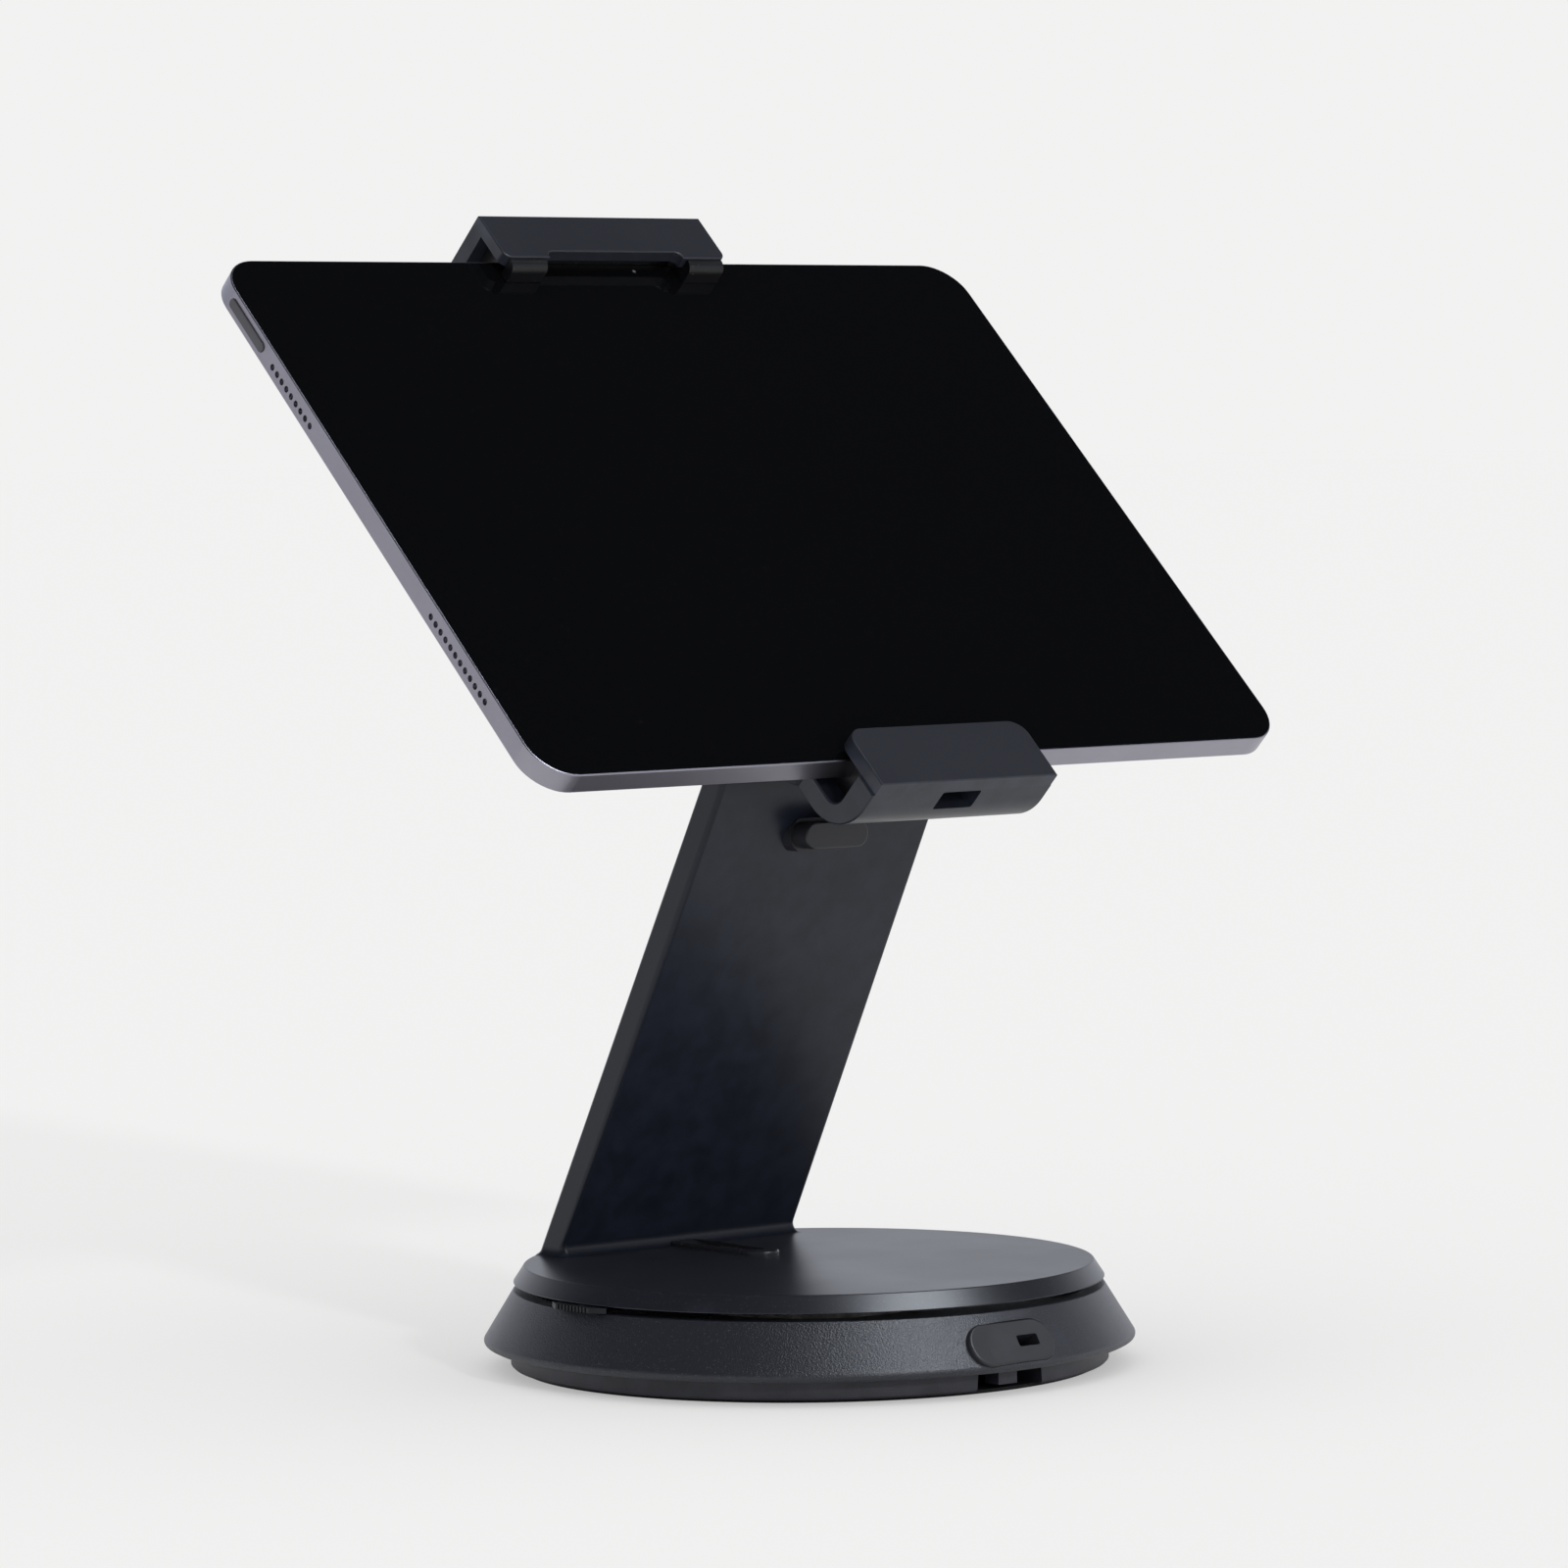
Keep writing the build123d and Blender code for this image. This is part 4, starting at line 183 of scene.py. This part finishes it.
def studio_floor():
    """Paper that keeps the object's shadow, lightened for the camera alone."""
    bpy.ops.object.select_all(action="DESELECT")
    bpy.ops.mesh.primitive_plane_add(size=FLOOR_SIZE, location=(0.0, 0.0, 0.0))
    floor = bpy.context.object
    floor.name = "studio_floor"
    paper = bpy.data.materials.new("floor_paper")
    paper.use_nodes = True
    shader = paper.node_tree.nodes["Principled BSDF"]
    shader.inputs["Base Color"].default_value = BACKDROP
    shader.inputs["Roughness"].default_value = 1.0
    shader.inputs["Specular IOR Level"].default_value = 0.0
    tree = paper.node_tree
    glow = tree.nodes.new("ShaderNodeEmission")
    glow.inputs["Color"].default_value = BACKDROP
    path = tree.nodes.new("ShaderNodeLightPath")
    share = tree.nodes.new("ShaderNodeMath")
    share.operation = "MULTIPLY"
    share.inputs[1].default_value = FLOOR_GLOW_SHARE
    tree.links.new(path.outputs["Is Camera Ray"], share.inputs[0])
    blend = tree.nodes.new("ShaderNodeMixShader")
    tree.links.new(share.outputs[0], blend.inputs[0])
    tree.links.new(shader.outputs[0], blend.inputs[1])
    tree.links.new(glow.outputs[0], blend.inputs[2])
    tree.links.new(blend.outputs[0], tree.nodes["Material Output"].inputs["Surface"])
    floor.data.materials.append(paper)


bpy.context.scene.view_settings.view_transform = "Standard"
photo_camera()
studio_world()
studio_floor()
sun("key_light", KEY_FROM, KEY_SHARE, KEY_SOFTNESS)
softbox = sun("front_softbox", SOFTBOX_FROM, SOFTBOX_SHARE, SOFTBOX_SOFTNESS)
softbox.visible_diffuse = False
softbox.data.color = SOFTBOX_TINT


# Material effects shared by several finishes


def effect(name, numbers, outputs):
    """A node group with one point input, named numbers and named outputs."""
    group = bpy.data.node_groups.new(name, "ShaderNodeTree")
    group.interface.new_socket("Point", in_out="INPUT", socket_type="NodeSocketVector")
    for label, value in numbers:
        made = group.interface.new_socket(label, in_out="INPUT", socket_type="NodeSocketFloat")
        made.default_value = value
    for label, kind in outputs:
        group.interface.new_socket(label, in_out="OUTPUT", socket_type=kind)
    return group, group.nodes.new("NodeGroupInput"), group.nodes.new("NodeGroupOutput")


def math_node(tree, operation, first, second):
    """The result of an operation on two numbers or sockets."""
    node = tree.nodes.new("ShaderNodeMath")
    node.operation = operation
    for index, value in enumerate((first, second)):
        if isinstance(value, (int, float)):
            node.inputs[index].default_value = value
        else:
            tree.links.new(value, node.inputs[index])
    return node.outputs[0]


def noise(tree, point, scale, detail=2.0, roughness=0.5):
    """Soft noise from 0 to 1; the scale is a number or a socket."""
    node = tree.nodes.new("ShaderNodeTexNoise")
    tree.links.new(point, node.inputs["Vector"])
    if isinstance(scale, (int, float)):
        node.inputs["Scale"].default_value = scale
    else:
        tree.links.new(scale, node.inputs["Scale"])
    node.inputs["Detail"].default_value = detail
    node.inputs["Roughness"].default_value = roughness
    return node.outputs["Fac"]


def stretch(tree, value, low, high):
    """The value mapped so that low becomes 0 and high becomes 1."""
    node = tree.nodes.new("ShaderNodeMapRange")
    tree.links.new(value, node.inputs["Value"])
    node.inputs["From Min"].default_value = low
    node.inputs["From Max"].default_value = high
    return node.outputs["Result"]


# Scales of the patterns, in cells per metre
PIMPLE_SCALE = 2600.0
FLECK_SCALE = 3400.0
PLASTIC_GRAIN_SCALE = 3600.0
PORE_SCALE = 2400.0
LINE_SCALE = 1800.0
BREAK_UP_SCALE = 140.0
PLASTIC_BREAK_UP_SCALE = 220.0
SPECK_SCALE = 900.0
COAT_PATCH_SCALE = 22.0
PLASTIC_PATCH_SCALE = 60.0
RUBBER_PATCH_SCALE = 40.0
METAL_PATCH_SCALE = 70.0
GLASS_PATCH_SCALE = 30.0

# Depths of the bumps, in metres
COAT_DEPTH = 0.00012
PLASTIC_DEPTH = 0.00008
PORE_DEPTH = 0.0001
LINE_DEPTH = 0.00005

# The coarse swell under the pimples, as shares of their scale and height
COARSE_TO_FINE = 0.31
COARSE_HEIGHT = 0.15

# Ranges that become 0 to 1 in the masks
RARE_CELLS = (0.86, 1.0)
CELL_CORE = (0.42, 0.12)
WORN_AND_LIT_FROM = 0.52
WORN_AND_LIT_TO = 0.66
BROKEN_CLOUDS = (0.35, 0.65)
PATCH_CLOUDS = (0.3, 0.7)
DUST_SPECKS = (0.70, 0.80)


def make_powder_grain():
    """Powder coat: fine pimples, with here and there a fleck where a painted glint goes."""
    tree, given, made = effect(
        "powder_grain",
        (("Pimple Scale", PIMPLE_SCALE), ("Fleck Scale", FLECK_SCALE)),
        (("Height", "NodeSocketFloat"), ("Fleck", "NodeSocketFloat")),
    )
    point = given.outputs["Point"]
    fine = noise(tree, point, given.outputs["Pimple Scale"], detail=2.0, roughness=0.6)
    coarse_scale = math_node(tree, "MULTIPLY", given.outputs["Pimple Scale"], COARSE_TO_FINE)
    coarse = noise(tree, point, coarse_scale, detail=1.0)
    swell = math_node(tree, "MULTIPLY", coarse, COARSE_HEIGHT)
    tree.links.new(math_node(tree, "ADD", fine, swell), made.inputs["Height"])
    cells = tree.nodes.new("ShaderNodeTexVoronoi")
    tree.links.new(point, cells.inputs["Vector"])
    tree.links.new(given.outputs["Fleck Scale"], cells.inputs["Scale"])
    shade = tree.nodes.new("ShaderNodeSeparateColor")
    tree.links.new(cells.outputs["Color"], shade.inputs[0])
    rare = stretch(tree, shade.outputs[0], *RARE_CELLS)
    near = stretch(tree, cells.outputs["Distance"], *CELL_CORE)
    tree.links.new(math_node(tree, "MULTIPLY", rare, near), made.inputs["Fleck"])
    return tree


def make_edge_wear_and_highlight():
    """Edges lightened for wear and a painted highlight: a mask from the surface's sharpness, broken up by
    noise.
    """
    tree, given, made = effect(
        "edge_wear_and_highlight",
        (("Reach", WORN_AND_LIT_FROM), ("Break Up", BREAK_UP_SCALE)),
        (("Mask", "NodeSocketFloat"),),
    )
    shape = tree.nodes.new("ShaderNodeNewGeometry")
    sharp = tree.nodes.new("ShaderNodeMapRange")
    tree.links.new(shape.outputs["Pointiness"], sharp.inputs["Value"])
    tree.links.new(given.outputs["Reach"], sharp.inputs["From Min"])
    sharp.inputs["From Max"].default_value = WORN_AND_LIT_TO
    clouds = noise(tree, given.outputs["Point"], given.outputs["Break Up"], detail=3.0, roughness=0.6)
    broken = stretch(tree, clouds, *BROKEN_CLOUDS)
    tree.links.new(math_node(tree, "MULTIPLY", sharp.outputs["Result"], broken), made.inputs["Mask"])
    return tree


def make_handling():
    """Large soft patches of handling and dust that vary a finish's sheen."""
    tree, given, made = effect(
        "handling",
        (("Patch Scale", COAT_PATCH_SCALE),),
        (("Patch", "NodeSocketFloat"), ("Dust", "NodeSocketFloat")),
    )
    point = given.outputs["Point"]
    clouds = noise(tree, point, given.outputs["Patch Scale"], detail=4.0, roughness=0.55)
    tree.links.new(stretch(tree, clouds, *PATCH_CLOUDS), made.inputs["Patch"])
    specks = noise(tree, point, SPECK_SCALE, detail=1.0, roughness=0.4)
    tree.links.new(stretch(tree, specks, *DUST_SPECKS), made.inputs["Dust"])
    return tree


POWDER_GRAIN = make_powder_grain()
EDGE_WEAR_AND_HIGHLIGHT = make_edge_wear_and_highlight()
HANDLING = make_handling()


def mixed(tree, factor, low, high):
    """A colour between two, by a mask."""
    node = tree.nodes.new("ShaderNodeMix")
    node.data_type = "RGBA"
    tree.links.new(factor, node.inputs["Factor"])
    for socket, value in ((node.inputs["A"], low), (node.inputs["B"], high)):
        if isinstance(value, tuple):
            socket.default_value = value
        else:
            tree.links.new(value, socket)
    return node.outputs["Result"]


def use(tree, group, point, **numbers):
    """An effect placed in a material, with its own numbers."""
    node = tree.nodes.new("ShaderNodeGroup")
    node.node_tree = group
    tree.links.new(point, node.inputs["Point"])
    for label, value in numbers.items():
        node.inputs[label.replace("_", " ").title()].default_value = value
    return node


def between(tree, mask, low, high):
    """A number between two, by a mask."""
    span = math_node(tree, "MULTIPLY", mask, high - low)
    return math_node(tree, "ADD", span, low)


def finish_of(name):
    """A new material with its node tree, its shader and the point that patterns are placed by."""
    material = bpy.data.materials.new(name)
    material.use_nodes = True
    tree = material.node_tree
    point = tree.nodes.new("ShaderNodeTexCoord").outputs["Object"]
    return material, tree, tree.nodes["Principled BSDF"], point


def set_bump(tree, shader, height, strength, distance):
    """A bump of this height on the shader's normal."""
    bump = tree.nodes.new("ShaderNodeBump")
    bump.inputs["Strength"].default_value = strength
    bump.inputs["Distance"].default_value = distance
    tree.links.new(height, bump.inputs["Height"])
    tree.links.new(bump.outputs["Normal"], shader.inputs["Normal"])


def grey(level, blue=0.0):
    """A grey, turned a little to blue."""
    return (level, level * (1.0 + 0.25 * blue), level * (1.0 + blue), 1.0)


def times(colour, factor):
    """The colour made lighter or darker."""
    return tuple(channel * factor for channel in colour[:3]) + (1.0,)


def roughness_by_patch(tree, shader, patches, low, high):
    """Roughness that varies with the handling patches."""
    tree.links.new(between(tree, patches.outputs["Patch"], low, high), shader.inputs["Roughness"])


# How much handling patches, and edges lightened for wear and a painted highlight, change a base colour
COAT_PATCH_TINT = 1.06
COAT_WORN_AND_LIT_TINT = 2.4
PLASTIC_PATCH_TINT = 1.10
PLASTIC_WORN_AND_LIT_TINT = 2.0
METAL_PATCH_TINT = 0.94

RUBBER_DUST = grey(0.06)
GLASS_BLACK = grey(0.0022, 0.3)
GLASS_DUST = grey(0.006)
GLASS_ROUGH = (0.035, 0.075)
PLAIN_SPECULAR = 0.5
LOW_SPECULAR = 0.35


def powder_coat(
    name, colour, painted_glint_flecks, rough, grain, pimples=PIMPLE_SCALE, specular=PLAIN_SPECULAR, depth=COAT_DEPTH
):
    """Satin powder coat with fine pimples, flecks lightened as a painted glint, handling patches, and
    edges lightened for wear and a painted highlight.
    """
    material, tree, shader, point = finish_of(name)
    grains = use(tree, POWDER_GRAIN, point, pimple_scale=pimples)
    worn_and_lit = use(tree, EDGE_WEAR_AND_HIGHLIGHT, point)
    patches = use(tree, HANDLING, point)
    tint = mixed(tree, patches.outputs["Patch"], colour, times(colour, COAT_PATCH_TINT))
    # Rare flecks lightened in the base colour: a painted glint
    glint_flecked = mixed(tree, grains.outputs["Fleck"], tint, painted_glint_flecks)
    # Sharp edges lightened in colour: part wear, part a painted highlight along them
    rubbed_and_lit = mixed(tree, worn_and_lit.outputs["Mask"], glint_flecked, times(colour, COAT_WORN_AND_LIT_TINT))
    tree.links.new(rubbed_and_lit, shader.inputs["Base Color"])
    roughness_by_patch(tree, shader, patches, *rough)
    shader.inputs["Specular IOR Level"].default_value = specular
    set_bump(tree, shader, grains.outputs["Height"], grain, depth)
    return material


def moulded_plastic(name, colour, rough, grain, specular=PLAIN_SPECULAR):
    """Moulded plastic with a spark-eroded grain and edges made lighter in colour, part wear and part a
    painted highlight.
    """
    material, tree, shader, point = finish_of(name)
    grains = use(tree, POWDER_GRAIN, point, pimple_scale=PLASTIC_GRAIN_SCALE)
    worn_and_lit = use(tree, EDGE_WEAR_AND_HIGHLIGHT, point, break_up=PLASTIC_BREAK_UP_SCALE)
    patches = use(tree, HANDLING, point, patch_scale=PLASTIC_PATCH_SCALE)
    tint = mixed(tree, patches.outputs["Patch"], colour, times(colour, PLASTIC_PATCH_TINT))
    # Sharp edges lightened in colour: part wear, part a painted highlight along them
    rubbed_and_lit = mixed(tree, worn_and_lit.outputs["Mask"], tint, times(colour, PLASTIC_WORN_AND_LIT_TINT))
    tree.links.new(rubbed_and_lit, shader.inputs["Base Color"])
    roughness_by_patch(tree, shader, patches, *rough)
    shader.inputs["Specular IOR Level"].default_value = specular
    set_bump(tree, shader, grains.outputs["Height"], grain, PLASTIC_DEPTH)
    return material


def soft_rubber(name, colour, rough=(0.62, 0.82), pores_show=0.35):
    """Black rubber with pale dust in its pores, dull unless it is made smoother."""
    material, tree, shader, point = finish_of(name)
    pores = noise(tree, point, PORE_SCALE, detail=3.0, roughness=0.6)
    patches = use(tree, HANDLING, point, patch_scale=RUBBER_PATCH_SCALE)
    dusty = mixed(tree, patches.outputs["Dust"], colour, RUBBER_DUST)
    tree.links.new(dusty, shader.inputs["Base Color"])
    roughness_by_patch(tree, shader, patches, *rough)
    shader.inputs["Specular IOR Level"].default_value = LOW_SPECULAR
    set_bump(tree, shader, pores, pores_show, PORE_DEPTH)
    return material


def metal(name, colour, rough, scratch, grain=LINE_SCALE, drawn_by=(1.0, 1.0, 12.0)):
    """Bare metal with fine drawn scratches and tarnish patches."""
    material, tree, shader, point = finish_of(name)
    drawn = tree.nodes.new("ShaderNodeMapping")
    drawn.inputs["Scale"].default_value = drawn_by
    tree.links.new(point, drawn.inputs["Vector"])
    lines = noise(tree, drawn.outputs["Vector"], grain, detail=2.0, roughness=0.6)
    patches = use(tree, HANDLING, point, patch_scale=METAL_PATCH_SCALE)
    tint = mixed(tree, patches.outputs["Patch"], colour, times(colour, METAL_PATCH_TINT))
    tree.links.new(tint, shader.inputs["Base Color"])
    shader.inputs["Metallic"].default_value = 1.0
    tree.links.new(between(tree, lines, *rough), shader.inputs["Roughness"])
    set_bump(tree, shader, lines, scratch, LINE_DEPTH)
    return material


def screen_glass(name):
    """Cover glass over a dark panel: near black, with faint finger marks in its gloss."""
    material, tree, shader, point = finish_of(name)
    patches = use(tree, HANDLING, point, patch_scale=GLASS_PATCH_SCALE)
    dusty = mixed(tree, patches.outputs["Dust"], GLASS_BLACK, GLASS_DUST)
    tree.links.new(dusty, shader.inputs["Base Color"])
    roughness_by_patch(tree, shader, patches, *GLASS_ROUGH)
    shader.inputs["Specular IOR Level"].default_value = LOW_SPECULAR
    return material


# By slot: base colour, fleck colour (a painted glint), smoothest and roughest, strength of the grain
POWDER_COATS = {
    "skirt_coat": ((0.014, 0.0155, 0.023, 1.0), grey(0.14, 0.2), (0.35, 0.39), 1.0),
    "pan_coat": ((0.015, 0.0155, 0.0225, 1.0), grey(0.05, 0.1), (0.42, 0.48), 0.4),
    "turntable_coat": ((0.0095, 0.0105, 0.0165, 1.0), grey(0.10, 0.1), (0.31, 0.35), 0.16),
    "arm_coat": ((0.0075, 0.0095, 0.0165, 1.0), grey(0.03, 0.2), (0.31, 0.35), 0.08),
    "jaw_coat": ((0.0095, 0.0115, 0.018, 1.0), grey(0.03, 0.2), (0.34, 0.38), 0.10),
    "cap_coat": ((0.0135, 0.0155, 0.0235, 1.0), grey(0.03, 0.2), (0.38, 0.42), 0.10),
    "tray_coat": ((0.011, 0.0125, 0.0185, 1.0), grey(0.04, 0.2), (0.40, 0.46), 0.15),
}
COAT_EXTRAS = {
    "skirt_coat": {"pimples": 2200.0, "depth": 0.00015},
    "arm_coat": {"specular": 0.30},
    "jaw_coat": {"specular": 0.40},
    "cap_coat": {"specular": 0.40},
}

# By slot: base colour, smoothest and roughest, strength of the grain, and a specular level of its own
PLASTICS = {
    "cover_plastic": ((0.011, 0.0115, 0.0145, 1.0), (0.42, 0.50), 0.25),
    "trim_plastic": ((0.014, 0.0145, 0.0185, 1.0), (0.40, 0.46), 0.15),
    "lock_plastic": ((0.006, 0.0065, 0.0085, 1.0), (0.16, 0.22), 0.06, 0.18),
    "bearing_plastic": ((0.55, 0.54, 0.50, 1.0), (0.40, 0.50), 0.15),
    "display_stack": (grey(0.006), (0.2, 0.3), 0.05),
    "battery_wrap": (grey(0.03), (0.35, 0.5), 0.1),
    "board_green": ((0.01, 0.06, 0.03, 1.0), (0.3, 0.45), 0.1),
}

# By slot: base colour, smoothest and roughest, strength of the lines, and their own scale and stretch
METALS = {
    "steel": (grey(0.45), (0.28, 0.42), 0.25),
    "lock_metal": (grey(0.55), (0.12, 0.22), 0.1),
    "tablet_metal": ((0.335, 0.325, 0.375, 1.0), (0.32, 0.38), 0.10, 3600.0, (1.0, 1.0, 1.0)),
}

# One finish for each material slot of the record
FINISHES = {}
for slot_name, look in POWDER_COATS.items():
    FINISHES[slot_name] = powder_coat(slot_name, *look, **COAT_EXTRAS.get(slot_name, {}))
for slot_name, look in PLASTICS.items():
    FINISHES[slot_name] = moulded_plastic(slot_name, *look)
for slot_name, look in METALS.items():
    FINISHES[slot_name] = metal(slot_name, *look)
for slot_name in ("screen_glass", "lens_glass"):
    FINISHES[slot_name] = screen_glass(slot_name)
FINISHES["black_rubber"] = soft_rubber("black_rubber", (0.0055, 0.0058, 0.007, 1.0))

# Nodes whose finish differs a little from the rest of their slot
LINER_RUBBER = soft_rubber("liner_rubber", (0.0032, 0.0034, 0.0045, 1.0), (0.30, 0.38), 0.10)
GROMMET_RUBBER = soft_rubber("grommet_rubber", (0.0150, 0.0155, 0.0190, 1.0), (0.26, 0.34), 0.10)
BUTTON_FACE = moulded_plastic("button_face", (0.046, 0.046, 0.052, 1.0), (0.26, 0.32), 0.05)
OWN_FINISHES = {
    "upper_jaw_liner": LINER_RUBBER,
    "lower_jaw_liner": LINER_RUBBER,
    "cable_grommet": GROMMET_RUBBER,
    "tablet_power_button": BUTTON_FACE,
}

for entry in frame["record"]["subparts"]:
    node = NODES[entry["node"]]
    finish = OWN_FINISHES.get(entry["node"], FINISHES[entry["material_slot"]])
    node.data.materials.clear()
    node.data.materials.append(finish)


# Front camera window

WINDOW_R = 1.1 * MM
WINDOW_THICK = 0.10 * MM
WINDOW_LIP = 0.35 * WINDOW_R
WINDOW_SLOPE = 0.10 * WINDOW_R
WINDOW_SINK = 0.5 * WINDOW_THICK
WINDOW_PLACE = Vector((9.95 * MM, 86.0 * MM, 3.08 * MM))
# A pale spot painted into the window's colour: a painted glint on the camera's lens
GLINT_R = 0.55 * MM
GLINT_CORE_R = 0.7 * GLINT_R
PAINTED_GLINT_COLOUR = grey(0.16, 0.15)
WINDOW_SIDES = 40
SMOOTH_BELOW = math.radians(30.0)
FACES_UP = 0.9


def camera_glass(name, centre):
    """The screen's glass, with a small pale spot painted in the middle of the window: a painted glint on
    the lens.
    """
    material = screen_glass(name)
    tree = material.node_tree
    shader = tree.nodes["Principled BSDF"]
    point = tree.nodes.new("ShaderNodeTexCoord").outputs["Object"]
    away = tree.nodes.new("ShaderNodeVectorMath")
    away.operation = "DISTANCE"
    tree.links.new(point, away.inputs[0])
    away.inputs[1].default_value = centre
    # The painted glint: pale at the window's centre, fading out towards its edge
    painted_glint = stretch(tree, away.outputs["Value"], GLINT_R, GLINT_CORE_R)
    glass = shader.inputs["Base Color"].links[0].from_socket
    tree.links.new(mixed(tree, painted_glint, glass, PAINTED_GLINT_COLOUR), shader.inputs["Base Color"])
    return material


def camera_window():
    """A small window with a raised rim in the screen's upper border."""
    bpy.ops.object.select_all(action="DESELECT")
    bpy.ops.mesh.primitive_cylinder_add(vertices=WINDOW_SIDES, radius=WINDOW_R, depth=WINDOW_THICK)
    window = bpy.context.object
    window.name = "front_camera_window"
    bpy.ops.object.mode_set(mode="EDIT")
    bpy.ops.mesh.select_all(action="DESELECT")
    mesh = bmesh.from_edit_mesh(window.data)
    for face in mesh.faces:
        face.select_set(face.normal.z > FACES_UP)
    bmesh.update_edit_mesh(window.data)
    bpy.ops.mesh.inset(thickness=WINDOW_LIP, depth=0.0)
    bpy.ops.mesh.inset(thickness=WINDOW_SLOPE, depth=-WINDOW_SINK)
    bpy.ops.object.mode_set(mode="OBJECT")
    window.matrix_world = HEAD @ Matrix.Translation(WINDOW_PLACE)
    bpy.ops.object.transform_apply(location=True, rotation=True, scale=True)
    bpy.ops.object.shade_smooth_by_angle(angle=SMOOTH_BELOW)
    window.data.materials.append(camera_glass("camera_glass", HEAD @ WINDOW_PLACE))
    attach(window, "head")


camera_window()
